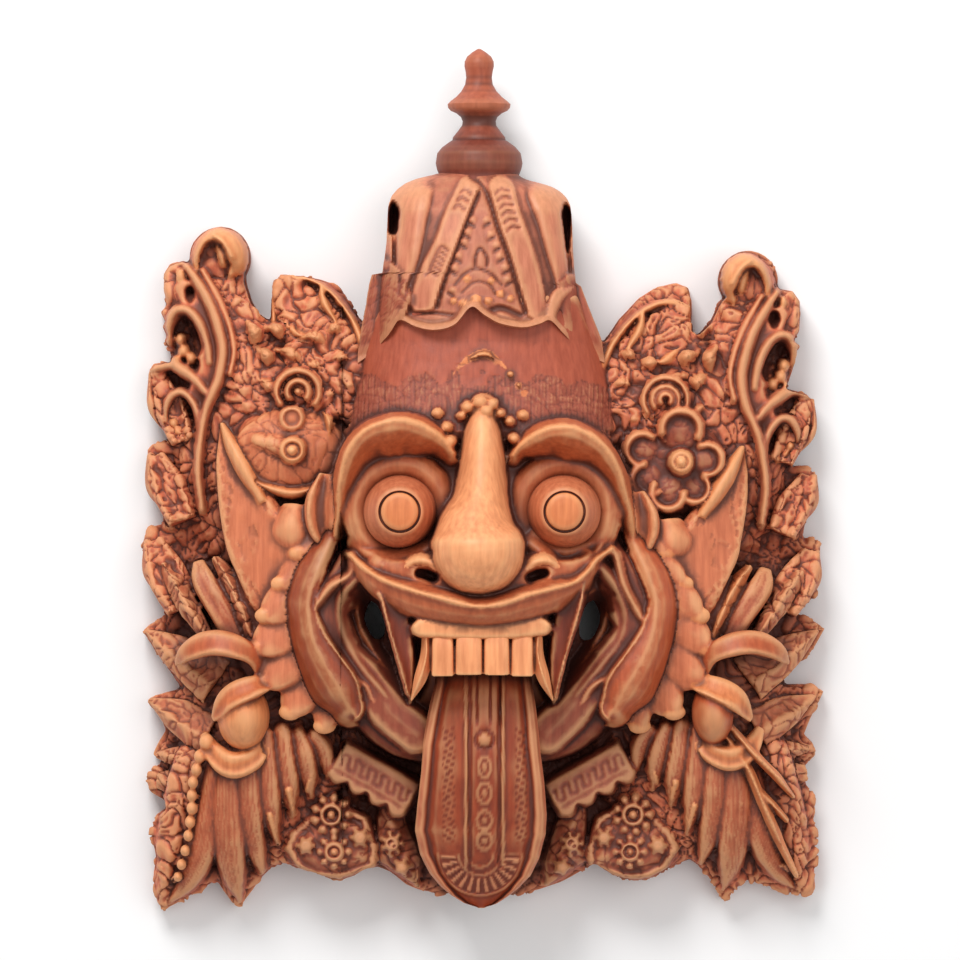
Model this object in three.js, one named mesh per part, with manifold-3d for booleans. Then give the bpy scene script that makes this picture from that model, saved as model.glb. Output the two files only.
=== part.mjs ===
// A temple-guardian mask, carved from one block of wood: a staring, tusked face with a long tongue, a bell-shaped
// crown with a finial, and a wing of leaves and scrolls on each side. It lies on its flat back, face up:
// +X is the right of someone who looks at the face, +Y the crown's end and +Z out of the face.
import * as THREE from "three";
import { mergeVertices } from "three/addons/utils/BufferGeometryUtils.js";
import Module from "manifold-3d";

const wasm = await Module();
wasm.setup();

// Driving sizes in millimetres. Free carving is drawn on a grid of 432 by 343 by 140 parts, and each part
// is a share of one of the first three sizes, so a part is 1 mm on this mask.
const maskHeight = 432; // from the lowest leaf to the finial's tip
const maskWidth = 343; // across the outermost leaf tips
const maskDepth = 140; // from the flat back to the tip of the nose
const rimThickness = 20; // the wings' ground, from the flat back
const faceWall = 17; // wood left between the face and the hollow behind it
const nostrilBore = 5; // across each nostril
const crownSlotWidth = 5; // across the slot in each side of the crown
const toothGap = 1.2; // cut between two teeth
const pupilGroove = 1.1; // width of the ring cut round each pupil
const embed = 4; // how far a raised form runs into the wood under it
const smallestFacet = 0.6; // slivers finer than this, left where forms meet, are closed up

const gridHeight = 432;
const gridWidth = 343;
const gridDepth = 140;
const tall = maskHeight / gridHeight;
const wide = maskWidth / gridWidth;
const deep = maskDepth / gridDepth;

const at = (x, y, z) => new THREE.Vector3(x * wide, y * tall, z * deep);

// Turns a closed three.js geometry into a solid.
function solid(geometry) {
  geometry.deleteAttribute("normal");
  geometry.deleteAttribute("uv");
  const merged = mergeVertices(geometry, 1e-4);
  return new wasm.Manifold(
    new wasm.Mesh({
      numProp: 3,
      vertProperties: new Float32Array(merged.attributes.position.array),
      triVerts: new Uint32Array(merged.index.array),
    }),
  );
}

// A value between the stations of a list that runs evenly from 0 to 1.
function between(list, t) {
  const place = Math.min(Math.max(t, 0), 1) * (list.length - 1);
  const low = Math.min(Math.floor(place), list.length - 2);
  return THREE.MathUtils.lerp(list[low], list[low + 1], place - low);
}

const outOfFace = new THREE.Vector3(0, 0, 1);

// A limb of carving: an oval section swept along a smooth spine. widths run across it, rises stand out of the
// face above the spine and sinks reach down into the wood, each a list that runs from the first end to the last.
function limb(spine, widths, rises, sinks, { sides = 6, steps = 5, keel = 0, out = outOfFace } = {}) {
  const curve = new THREE.CatmullRomCurve3(spine.map((p) => at(...p)));
  const geometry = new THREE.CylinderGeometry(1, 1, 1, sides, steps);
  const points = geometry.attributes.position;
  const place = new THREE.Vector3();
  for (let i = 0; i < points.count; i++) {
    const across = points.getX(i);
    const outward = points.getZ(i);
    const t = points.getY(i) + 0.5;
    const tangent = curve.getTangent(t);
    const up = out.clone().addScaledVector(tangent, -out.dot(tangent)).normalize();
    const side = new THREE.Vector3().crossVectors(tangent, up);
    // keel 1 makes the section a ridge with straight flanks, keel 0 an oval
    const height = THREE.MathUtils.lerp(outward, Math.sign(outward) * (1 - Math.abs(across)), keel);
    const reach = outward > 0 ? between(rises, t) * deep : between(sinks, t) * deep;
    place.copy(curve.getPoint(t));
    place.addScaledVector(side, (across * between(widths, t) * wide) / 2);
    place.addScaledVector(up, height * reach);
    points.setXYZ(i, place.x, place.y, place.z);
  }
  const made = solid(geometry);
  return made.volume() < 0 ? solid(flipped(geometry)) : made;
}

// The same geometry with its faces turned round.
function flipped(geometry) {
  const index = geometry.index.array;
  for (let i = 0; i < index.length; i += 3) {
    [index[i + 1], index[i + 2]] = [index[i + 2], index[i + 1]];
  }
  return geometry;
}

// A rounded mass.
function mass(centre, radii, columns = 10, rows = 6) {
  const geometry = new THREE.SphereGeometry(1, columns, rows);
  geometry.rotateX(Math.PI / 2);
  geometry.scale(radii[0] * wide, radii[1] * tall, radii[2] * deep);
  geometry.translate(...at(...centre).toArray());
  return solid(geometry);
}

// A form turned about an axis out of the face: profile is a list of [radius, height above the back].
function turnedOut(x, y, profile, columns = 10) {
  const outline = profile.map(([r, z]) => new THREE.Vector2(r * wide, z * deep));
  const geometry = new THREE.LatheGeometry(outline, columns);
  geometry.rotateX(Math.PI / 2);
  geometry.translate(x * wide, y * tall, 0);
  return solid(geometry);
}

// A flat form between two levels, from an outline of [x, y] points.
function slab(outline, low, high) {
  const shape = new THREE.Shape(outline.map(([x, y]) => new THREE.Vector2(x * wide, y * tall)));
  const geometry = new THREE.ExtrudeGeometry(shape, { depth: high - low, bevelEnabled: false });
  geometry.translate(0, 0, low);
  return solid(geometry);
}

// The wings were cut by eye: the right one stands lower at its top and higher at its foot than the left one.
const rightWingShift = [
  { y: -215, rise: 7 },
  { y: -75, rise: 0 },
  { y: 40, rise: -13 },
];
function wingHeight(side, y) {
  if (side < 0) return y;
  const last = rightWingShift.length - 1;
  for (let i = 0; i < last; i++) {
    const [low, high] = [rightWingShift[i], rightWingShift[i + 1]];
    if (y <= high.y) {
      return y + THREE.MathUtils.mapLinear(Math.max(y, low.y), low.y, high.y, low.rise, high.rise);
    }
  }
  return y + rightWingShift[last].rise;
}
const wingPoint = (side, [x, y, z]) => [side * x, wingHeight(side, y), z];
const wingLimb = (side, spine, ...rest) => limb(spine.map((p) => wingPoint(side, p)), ...rest);
const facePoint = (side, [x, y, z]) => [side * x, y, z];
const faceLimb = (side, spine, ...rest) => limb(spine.map((p) => facePoint(side, p)), ...rest);
const bothSides = (make) => [...make(-1), ...make(1)];

// The ground that everything stands on: a board with a smooth outline, and a mound under each part of the carving.
function ground() {
  const half = [
    [58, 78], [70, 92], [86, 99], [101, 99], [104, 82], [116, 91], [124, 104], [146, 109], [156, 104],
    [156, 84], [153, 60], [156, 38], [154, 20], [158, 0], [156, -22], [160, -50], [155, -66], [155, -88],
    [147, -104], [155, -122], [157, -150], [156, -175], [155, -200], [134, -198], [116, -197], [100, -190],
    [72, -199], [52, -192], [25, -205],
  ];
  const right = half.map(([x, y]) => [x, wingHeight(1, y)]);
  const left = half.map(([x, y]) => [-x, y]).reverse();
  return [
    slab([...right, ...left], 0, rimThickness),
    ...bothSides((side) => [
      mass(wingPoint(side, [100, 22, 0]), [60, 84, 46], 12, 6),
      mass(wingPoint(side, [102, -118, 0]), [58, 84, 42], 12, 6),
      mass([side * 54, 62, 8], [26, 24, 28], 8, 4),
    ]),
  ];
}

const face = { centre: [0, -36, 0], radii: [90, 112, 86] };

function head() {
  return [
    mass(face.centre, face.radii, 16, 10),
    // brow of the helmet, a smooth band bent round the forehead
    limb([[-61, 56, 26], [-38, 58, 52], [0, 58, 63], [38, 58, 52], [61, 56, 26]],
      [34, 50, 54, 50, 34], [8, 10, 10, 10, 8], [26, 44, 50, 44, 26], { sides: 8, steps: 6 }),
  ];
}

function nose() {
  return [
    limb([
      [-1, 42, 80], [-1, 22, 86], [-1, 4, 90], [-1, -12, 96], [-1, -27, 102], [-1, -40, 102], [-1, -50, 99],
      [-1, -56, 96],
    ],
      [13, 19, 22, 27, 38, 46, 42, 28], [5, 10, 14, 18, 26, 33, 26, 10], [20, 22, 24, 26, 28, 26, 20, 12],
      { sides: 8, steps: 8 }),
    ...bothSides((side) => [
      faceLimb(side, [[20, -44, 92], [28, -40, 94], [38, -43, 86]], [8, 9, 3], [9, 10, 3], [10, 10, 8],
        { sides: 6, steps: 3 }),
    ]),
  ];
}

const eye = { x: 40.5, y: -14.5, radius: 19, level: 80, pupil: 9.5, pupilTop: 103 };

function eyes() {
  const ballTop = eye.level + eye.radius;
  const ball = (r) => eye.level + Math.sqrt(eye.radius ** 2 - r ** 2);
  const groove = eye.pupil + pupilGroove / wide;
  const profile = [
    [0, eye.level - eye.radius], [eye.radius, eye.level - eye.radius], [eye.radius, eye.level],
    [16.5, ball(16.5)], [groove, ball(groove)],
    [groove, ballTop - 4], [eye.pupil, ballTop - 4], [eye.pupil, eye.pupilTop - 1],
    [eye.pupil - 1, eye.pupilTop], [0, eye.pupilTop],
  ];
  return bothSides((side) => [turnedOut(side * eye.x, eye.y, profile, 14)]);
}

function brows() {
  return bothSides((side) => [
    faceLimb(side, [[14, 13, 84], [25, 21, 86], [41, 26, 84], [57, 20, 80], [67, 4, 74], [71, -15, 70], [74, -34, 66]],
      [6, 12, 13, 13, 13, 12, 12], [8, 14, 15, 15, 14, 12, 8], [16, 16, 16, 16, 16, 16, 12], { sides: 5, steps: 6 }),
    // bag under the eye, out to the corner of the mouth
    faceLimb(side, [[16, -36, 84], [30, -32, 86], [48, -38, 84], [66, -36, 76]],
      [8, 12, 10, 4], [6, 10, 8, 6], [12, 12, 12, 12], { sides: 4, steps: 4 }),
    // curled end of the brow beside the nose
    mass([side * 15.5, 17, 88], [6, 6, 8], 6, 5),
  ]);
}

function mouth() {
  return [
    // upper lip, a wide band that smiles up to both corners
    limb([
      [-68, -35, 76], [-50, -51, 88], [-27, -60, 98], [0, -64, 102], [27, -60, 98], [50, -51, 88], [68, -35, 76],
    ],
      [3, 10, 13, 13, 13, 10, 3], [5, 12, 15, 16, 15, 12, 5], [14, 22, 26, 26, 26, 22, 14], { sides: 5, steps: 10 }),
    ...bothSides((side) => [
      // cheek: a horn that runs down beside the mouth and swells to its cut end
      faceLimb(side, [[73, -28, 62], [82, -50, 66], [90, -73, 64], [86, -97, 66], [70, -121, 60]],
        [12, 17, 15, 27, 12], [8, 12, 13, 20, 14], [20, 22, 24, 24, 14], { sides: 6, steps: 6 }),
      // lower lip
      faceLimb(side, [[84, -66, 58], [68, -86, 64], [54, -100, 66], [40, -115, 66], [24, -130, 62]],
        [6, 16, 17, 17, 12], [6, 11, 12, 12, 8], [16, 18, 20, 20, 14], { sides: 6, steps: 5 }),
      // upper lip's wall beside the mouth, up to its corner
      faceLimb(side, [[64, -38, 70], [76, -52, 70], [84, -68, 62]], [6, 8, 6], [6, 8, 6], [14, 16, 14],
        { sides: 4, steps: 3 }),
      // fang
      faceLimb(side, [[42, -54, 88], [40, -82, 88], [35.5, -108, 86]], [22, 17, 1.5], [8, 7, 2], [9, 7, 2],
        { sides: 6, steps: 3 }),
    ]),
  ];
}

const teeth = { top: -66, bottom: -95, front: 106, back: 84, edges: [-29, -26, -13.5, 0.5, 13.5, 25, 29] };

function teethRow() {
  const gum = slab([[-30, -66], [-31, -78], [29, -78], [30, -66]],
    (teeth.back - 22) * deep, (teeth.front - 2) * deep);
  const gap = toothGap / wide;
  const row = teeth.edges.slice(1).map((edge, i) => {
    const from = teeth.edges[i] + gap / 2;
    const to = edge - gap / 2;
    const outer = i === 0 || i === teeth.edges.length - 2;
    const foot = outer ? teeth.bottom + 3 : teeth.bottom;
    return slab([[from, teeth.top], [from, foot], [to, foot], [to, teeth.top]],
      teeth.back * deep, (teeth.front - (outer ? 5 : 0)) * deep);
  });
  return [gum, ...row];
}

function tongue() {
  return [
    limb([[1, -84, 58], [1, -108, 72], [0, -140, 74], [0, -172, 66], [-1, -198, 52], [-1, -212, 40]],
      [46, 51, 57, 60, 63, 65, 52, 4], [6, 8, 9, 9, 9, 9, 7, 3], [40, 50, 52, 48, 44, 38, 30, 20],
      { sides: 8, steps: 6 }),
  ];
}

// Crown: a bell with a smooth lobe at each side, crossed bands in front and a leafed collar round its foot.
const crownAxisHeight = 25;

function crown() {
  return [
    limb([56, 90, 120, 153].map((y) => [-1, y, crownAxisHeight]),
      [112, 106, 100, 96, 94, 93, 92, 86, 56], [44, 42, 38, 36, 34, 32, 31, 28, 22],
      [25, 25, 25, 25, 25, 25, 25, 24, 20], { sides: 12, steps: 8 }),
    ...bothSides((side) => [
      // smooth lobe
      faceLimb(side, [[31, 151, 36], [31, 138, 42], [33, 118, 44], [37, 96, 46]], [14, 20, 16, 6], [4, 11, 9, 4],
        [14, 20, 20, 12], { sides: 6, steps: 5 }),
      // slanting band
      faceLimb(side, [[5, 150, 50], [17, 120, 56], [29, 88, 62]], [9, 10, 12], [3, 5, 6], [10, 10, 10],
        { sides: 4, steps: 2 }),
      // leaf of the collar
      faceLimb(side, [[44, 66, 44], [52, 84, 38], [51, 104 - (side + 1) * 3, 28]], [34, 24, 5], [9, 8, 3],
        [20, 18, 8], { sides: 6, steps: 3 }),
    ]),
    // wavy lip of the collar
    limb([[-58, 64, 40], [-41, 81, 62], [-24, 74, 70], [-3, 86, 74], [14, 77, 74], [35, 78, 66], [60, 60, 38]],
      [4, 6, 6, 6, 6, 6, 4], [3, 4, 4, 4, 4, 4, 3], [22, 24, 24, 24, 24, 24, 20], { sides: 4, steps: 12 }),
  ];
}

// Finial, turned about the crown's axis: [radius, distance above its foot].
const finialFoot = 150;
const finialProfile = [
  [0, -6], [19, -6], [20, 4], [22, 10], [21, 15], [17, 19.5], [10.5, 24], [8.5, 28], [8.5, 32], [14, 36.5],
  [15.5, 39], [13, 42], [9, 43.5], [6.5, 49], [6.5, 55], [7.5, 57.5], [6.5, 60.5], [0, 66],
];

function finial() {
  const outline = finialProfile.map(([r, y]) => new THREE.Vector2(r * wide, y * tall));
  const geometry = new THREE.LatheGeometry(outline, 12);
  geometry.translate(...at(-1.5, finialFoot, crownAxisHeight).toArray());
  return [solid(geometry)];
}

// Leaves along the edge of a wing: tip, root, width across the root and across the blunt end.
const edgeLeaves = [
  { tip: [160, 106, 20], root: [146, 84, 24], width: 20, end: 9 },
  { tip: [166, 56, 20], root: [149, 26, 26], width: 24, end: 7 },
  { tip: [166, 16, 20], root: [150, -16, 28], width: 26, end: 9 },
  { tip: [168, -28, 22], root: [151, -60, 28], width: 28, end: 9 },
  { tip: [171.5, -74, 24], root: [134, -106, 34], width: 24, end: 2 },
  { tip: [168.5, -110, 24], root: [138, -128, 34], width: 20, end: 2 },
  { tip: [167, -137, 20], root: [140, -142, 32], width: 16, end: 3 },
  { tip: [166, -152, 20], root: [144, -156, 30], width: 20, end: 10 },
  { tip: [165.5, -174, 18], root: [146, -182, 28], width: 14, end: 4 },
];
const footLeaves = [
  { spine: [[118, -140, 40], [140, -178, 36], [161, -216, 14]], widths: [24, 36, 2] },
  { spine: [[104, -132, 44], [118, -172, 42], [121.5, -214, 16]], widths: [16, 26, 3] },
  { spine: [[96, -130, 46], [108, -166, 42], [112, -198, 26]], widths: [14, 20, 3] },
  { spine: [[90, -130, 46], [100, -160, 42], [100, -191, 22]], widths: [14, 20, 3] },
  { spine: [[84, -128, 46], [92, -150, 42], [90, -171, 30]], widths: [14, 18, 3] },
  { spine: [[78, -126, 46], [84, -142, 42], [82, -158, 32]], widths: [12, 14, 3] },
];

function wingLeaves() {
  return bothSides((side) => [
    ...edgeLeaves.map(({ tip, root, width, end }) => {
      const middle = [(tip[0] * 3 + root[0] * 2) / 5 + 2, (tip[1] + root[1]) / 2, (tip[2] + root[2]) / 2];
      return wingLimb(side, [root, middle, tip], [width, width * 0.8, end], [6, 5, 2], [34, 30, 20],
        { sides: 4, steps: 2 });
    }),
    ...footLeaves.map(({ spine, widths }) =>
      wingLimb(side, spine, widths, [8, 8, 3], [40, 34, 14], { sides: 4, steps: 3 }),
    ),
    // two long leaves that lean out above the hooked petal
    wingLimb(side, [[116, -84, 46], [126, -60, 44], [134, -38, 34]], [14, 15, 3], [10, 9, 3], [20, 18, 10],
      { sides: 4, steps: 3 }),
    wingLimb(side, [[132, -82, 40], [146, -58, 36], [160, -42, 26]], [12, 14, 3], [10, 9, 3], [20, 18, 10],
      { sides: 4, steps: 3 }),
  ]);
}

// Scrolls at the top of a wing: a round head on a stem, and two arches over deep hollows.
const scrollHead = { x: 132, y: 113, level: 32, radius: 15.5, rise: 20 };
const arches = [
  { centre: [147, 66], size: [11, 17], level: 34 },
  { centre: [149, 30], size: [10, 13], level: 34 },
];

function scrolls() {
  return bothSides((side) => [
    mass(wingPoint(side, [scrollHead.x, scrollHead.y, scrollHead.level]),
      [scrollHead.radius, scrollHead.radius, scrollHead.rise], 10, 6),
    wingLimb(side, [[131, 106, 30], [130, 84, 34], [134, 58, 38], [134, 26, 42]], [22, 22, 14, 10], [10, 10, 9, 6],
      [30, 30, 30, 30], { sides: 5, steps: 4 }),
    ...arches.map(({ centre: [x, y], size: [across, along], level }) => {
      const arc = [-0.25, 0.05, 0.35, 0.65, 0.95, 1.25].map((turn) => [
        x + across * Math.cos(turn * Math.PI), y + along * Math.sin(turn * Math.PI), level,
      ]);
      return wingLimb(side, arc, [4, 6, 7, 6, 4], [4, 6, 6, 6, 4], [24, 26, 28, 26, 24], { sides: 4, steps: 5 });
    }),
  ]);
}

function ears() {
  return bothSides((side) => [
    // leaf that stands between the crown and the scroll
    wingLimb(side, [[66, 62, 40], [78, 84, 34], [101, 101, 20]], [40, 32, 8], [10, 9, 4], [36, 32, 20],
      { sides: 6, steps: 3 }),
    // long smooth ear
    wingLimb(side, [[130, 30, 36], [124, 4, 42], [115, -28, 48], [100, -66, 52], [93, -88, 48]],
      [2, 22, 32, 26, 8], [4, 8, 9, 10, 6], [24, 30, 30, 30, 20], { sides: 6, steps: 5 }),
    // dish behind the flower
    mass(wingPoint(side, [99, 17, 42]), [27, 30, 14], 12, 6),
  ]);
}

const flower = { x: 96, y: 16, level: 60, petals: 6, radius: 23, notch: 18, button: 6.2, buttonTop: 70 };

function flowers() {
  return bothSides((side) => {
    const [x, y] = wingPoint(side, [flower.x, flower.y, 0]);
    const outline = Array.from({ length: flower.petals * 3 }, (_, i) => {
      const turn = (i / (flower.petals * 3)) * 2 * Math.PI;
      const reach = i % 3 === 0 ? flower.notch : flower.radius;
      return [x + reach * Math.cos(turn), y + reach * Math.sin(turn)];
    });
    const petals = slab(outline, rimThickness, flower.level * deep);
    const button = turnedOut(x, y, [
      [0, flower.level - embed], [flower.button, flower.level - embed], [flower.button, flower.buttonTop],
      [0, flower.buttonTop],
    ], 10);
    const swirl = wingLimb(side, [[82, 36, 50], [82, 50, 48], [92, 56, 46], [102, 50, 46], [104, 40, 46]],
      [5, 7, 7, 7, 4], [6, 8, 8, 7, 4], [16, 18, 18, 16, 10], { sides: 4, steps: 4 });
    return [petals, button, swirl];
  });
}

// Short pointed leaves down the outside of the cheek, like a beard.
const beard = [
  { tip: [95, -36, 58], root: [78, -32, 58], width: 13 },
  { tip: [106, -50, 58], root: [84, -50, 60], width: 15 },
  { tip: [112, -67, 58], root: [90, -68, 60], width: 16 },
  { tip: [113, -84, 58], root: [91, -84, 60], width: 16 },
  { tip: [110, -103, 58], root: [89, -98, 60], width: 16 },
  { tip: [100, -118, 56], root: [84, -108, 58], width: 15 },
  { tip: [82, -124, 54], root: [76, -112, 56], width: 14 },
];

function beardLeaves() {
  return bothSides((side) =>
    beard.map(({ tip, root, width }) => {
      const middle = tip.map((v, i) => (v + root[i]) / 2);
      return faceLimb(side, [root, middle, tip], [width, width, 2], [6, 7, 2], [26, 24, 14],
        { sides: 4, steps: 2 });
    }),
  );
}

// The big bud below each wing, with the petal that hooks over it and the ribs that run down from it.
function buds() {
  return bothSides((side) => [
    mass([side * 119, -118, 52], [12.5, 17, 18], 8, 6),
    faceLimb(side, [[111, -104, 56], [118, -86, 62], [134, -81, 58], [150, -88, 50]], [4, 13, 13, 3], [5, 9, 8, 3],
      [20, 22, 20, 12], { sides: 4, steps: 4 }),
    faceLimb(side, [[112, -136, 48], [124, -143, 50], [138, -132, 46]], [8, 14, 6], [6, 8, 4], [16, 20, 14],
      { sides: 4, steps: 3 }),
    wingLimb(side, [[130, -124, 46], [142, -146, 44], [150, -176, 38], [160, -204, 24]], [5, 8, 9, 3], [6, 7, 7, 3],
      [20, 20, 20, 12], { sides: 4, steps: 3 }),
  ]);
}

// Collar under the chin: a scalloped ribbon and a carved shield on each side of the tongue.
const ribbon = { from: [72, -141], to: [34, -160], width: 20, level: 47, scallops: 4 };

function collar() {
  return bothSides((side) => {
    const along = new THREE.Vector2(ribbon.to[0] - ribbon.from[0], ribbon.to[1] - ribbon.from[1]);
    const down = new THREE.Vector2(along.y, -along.x).normalize();
    const edge = Array.from({ length: ribbon.scallops * 3 + 1 }, (_, i) => {
      const t = i / (ribbon.scallops * 3);
      const reach = ribbon.width / 2 + (i % 3 === 0 ? 0 : 5);
      return [
        side * (ribbon.from[0] + along.x * t + down.x * reach),
        ribbon.from[1] + along.y * t + down.y * reach,
      ];
    });
    const top = [1, 0].map((t) => [
      side * (ribbon.from[0] + along.x * t - (down.x * ribbon.width) / 2),
      ribbon.from[1] + along.y * t - (down.y * ribbon.width) / 2,
    ]);
    return [
      slab([...edge, ...top], rimThickness / 2, ribbon.level * deep),
      mass([side * 75, -178, 16], [28, 22, 22], 10, 4),
      mass([side * 46, -182, 14], [18, 22, 20], 8, 4),
      // chin under the lower lip
      mass([side * 46, -134, 24], [36, 22, 30], 8, 4),
    ];
  });
}

// What is cut away from the front: the mouth on both sides of the fangs, the hollows under the scrolls and the
// slots in the crown.
function frontCuts() {
  const towardsCrown = new THREE.Vector3(0, 1, 0);
  return bothSides((side) => [
    limb([[side * 54, -66, 8], [side * 58, -68, 50], [side * 63, -70, 112]],
      [16, 22, 30], [14, 19, 30], [14, 17, 24], { sides: 8, steps: 2, out: towardsCrown }),
    ...arches.map(({ centre: [x, y], size: [across, along] }) => {
      const [px, py] = wingPoint(side, [x, y, 0]);
      return mass([px, py - 1, 38], [across - 3, along - 4, 30], 8, 4);
    }),
    limb([[side * 43, 140, 36], [side * 43.5, 126, 38], [side * 44.5, 108, 40]],
      [crownSlotWidth / wide, (crownSlotWidth * 0.8) / wide, 1.5], [16, 14, 6], [12, 11, 6],
      { sides: 4, steps: 2 }),
  ]);
}

// Nostrils, bored from below the nose's wings.
function nostrils() {
  const radius = nostrilBore / 2 / wide;
  return bothSides((side) => [
    turnedOut(side * 26, -45.5, [[0, 82], [radius, 82], [radius, 112], [0, 112]], 8),
  ]);
}

// The hollow behind the face, open at the back, with faceWall left all round it.
function hollow() {
  const [across, along, out] = face.radii;
  const inside = [across - faceWall / wide, along - faceWall / tall, out - (faceWall * 1.4) / deep];
  return mass(face.centre, inside, 16, 10);
}

// Everything below the flat back is sawn off.
function belowBack() {
  const geometry = new THREE.BoxGeometry(maskWidth * 2, maskHeight * 2, maskDepth * 2);
  geometry.translate(0, 0, -maskDepth);
  return solid(geometry);
}

function carve() {
  const join = (start, solids) => solids.reduce((all, one) => all.add(one), start);
  const cut = (start, solids) => solids.reduce((all, one) => all.subtract(one), start);
  const [board, ...rest] = ground();
  const block = join(board, [
    ...rest, ...head(), ...eyes(), ...brows(), ...crown(), ...finial(), ...wingLeaves(), ...scrolls(), ...ears(),
    ...flowers(), ...beardLeaves(), ...buds(), ...collar(),
  ]);
  // nose, lips, teeth and tongue stand in front of the opened mouth
  const fronted = join(cut(block, frontCuts()), [...nose(), ...mouth(), ...teethRow(), ...tongue()]);
  return cut(fronted, [...nostrils(), hollow(), belowBack()]).asOriginal().simplify(smallestFacet);
}

// A solid's surface as a three.js geometry.
function surface(made) {
  const mesh = made.getMesh();
  const geometry = new THREE.BufferGeometry();
  geometry.setAttribute("position", new THREE.BufferAttribute(new Float32Array(mesh.vertProperties), 3));
  geometry.setIndex(new THREE.BufferAttribute(new Uint32Array(mesh.triVerts), 1));
  return geometry;
}

const wood = new THREE.MeshStandardMaterial({ color: 0xa8643f, roughness: 0.5, metalness: 0 });
const carving = new THREE.Mesh(surface(carve()), wood);
carving.name = "mask_carving";

// The origin is on the flat back, in the middle of the mask's outline.
carving.geometry.computeBoundingBox();
const middle = carving.geometry.boundingBox.getCenter(new THREE.Vector3());
carving.position.set(-middle.x, -middle.y, 0);

const mask = new THREE.Group();
mask.add(carving);

export default mask;
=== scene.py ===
# A carved wooden guardian mask that lies on its back: one block of wood with a staring face, a crown,
# a long tongue and two wings of leaves and scrolls. The camera looks straight down on it.
import math
import bmesh
import bpy
import numpy as np
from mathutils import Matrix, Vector


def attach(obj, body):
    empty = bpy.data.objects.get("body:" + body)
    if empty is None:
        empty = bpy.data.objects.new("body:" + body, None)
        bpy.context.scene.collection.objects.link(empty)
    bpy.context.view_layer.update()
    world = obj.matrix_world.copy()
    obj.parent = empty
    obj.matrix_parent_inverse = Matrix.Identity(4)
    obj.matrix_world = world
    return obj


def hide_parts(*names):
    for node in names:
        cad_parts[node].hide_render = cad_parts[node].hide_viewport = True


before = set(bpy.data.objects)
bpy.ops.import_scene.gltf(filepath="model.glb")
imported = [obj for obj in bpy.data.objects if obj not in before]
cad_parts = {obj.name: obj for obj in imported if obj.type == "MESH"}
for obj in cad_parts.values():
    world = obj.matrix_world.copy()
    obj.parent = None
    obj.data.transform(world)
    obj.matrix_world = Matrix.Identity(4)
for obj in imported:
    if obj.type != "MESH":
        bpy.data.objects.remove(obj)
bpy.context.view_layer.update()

# The drawing is in millimetres: x to the right, y towards the crown, z out of the flat sawn back.
drawing = {"middleX": 0.125, "middleY": 0.593, "unit": 0.001}

detail = {
    "blockVoxel": 0.85,
    "blockTriangles": 550000,
}

# Wood tones of the forms, as the eye sees them (red, green, blue from 0 to 255).
tones = {
    "ground": (202, 124, 94),
    "crown": (180, 123, 102),
    "crownLobe": (196, 140, 116),
    "band": (162, 97, 77),
    "face": (178, 108, 72),
    "brow": (186, 112, 72),
    "nose": (232, 180, 134),
    "eye": (198, 134, 100),
    "disc": (216, 150, 100),
    # tooth also makes the painted highlight dots on the flowers' buttons
    "lip": (178, 108, 72),
    "tooth": (238, 184, 136),
    "flap": (136, 72, 54),
    "mouth": (122, 62, 44),
    "cheek": (150, 76, 40),
    "lowerLip": (150, 86, 66),
    "tongue": (156, 78, 46),
    "ear": (204, 136, 100),
    "feather": (176, 106, 76),
    # gold is also laid on the brow and lip crests, one lobe and the beard's tips as a painted highlight
    "gold": (214, 150, 102),
    "bud": (196, 124, 80),
    "petal": (178, 98, 60),
    "ribbon": (166, 104, 84),
    "shield": (166, 101, 78),
    "edge": (192, 128, 98),
    "finial": (170, 104, 80),
    "finialFoot": (122, 66, 52),
    "forehead": (158, 94, 78),
    "hat": (170, 98, 76),
}


def linearTone(name):
    def channel(v):
        v = v / 255
        return v / 12.92 if v <= 0.04045 else ((v + 0.055) / 1.055) ** 2.4

    return [channel(v) for v in tones[name]]


def deselectAll():
    if bpy.context.object and bpy.context.object.mode != "OBJECT":
        bpy.ops.object.mode_set(mode="OBJECT")
    bpy.ops.object.select_all(action="DESELECT")


def makeActive(piece):
    deselectAll()
    piece.select_set(True)
    bpy.context.view_layer.objects.active = piece


def readShape(piece):
    # points, the corners of all faces in a row, and where each face starts in that row
    mesh = piece.data
    points = np.empty(len(mesh.vertices) * 3)
    mesh.vertices.foreach_get("co", points)
    corners = np.empty(len(mesh.loops), dtype=np.int32)
    mesh.loops.foreach_get("vertex_index", corners)
    starts = np.empty(len(mesh.polygons), dtype=np.int32)
    mesh.polygons.foreach_get("loop_start", starts)
    return points.reshape(-1, 3), corners, starts


def takeShape(piece):
    shape = readShape(piece)
    bpy.data.objects.remove(piece)
    return shape


def makePiece(name, shape):
    points, corners, starts = shape
    mesh = bpy.data.meshes.new(name)
    mesh.vertices.add(len(points))
    mesh.loops.add(len(corners))
    mesh.polygons.add(len(starts))
    mesh.vertices.foreach_set("co", np.asarray(points, dtype=np.float32).ravel())
    mesh.loops.foreach_set("vertex_index", corners)
    mesh.polygons.foreach_set("loop_start", starts)
    mesh.update(calc_edges=True)
    mesh.validate()
    piece = bpy.data.objects.new(name, mesh)
    bpy.context.collection.objects.link(piece)
    return piece


def writePoints(piece, points):
    piece.data.vertices.foreach_set("co", np.asarray(points, dtype=np.float32).ravel())
    piece.data.update()


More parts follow.
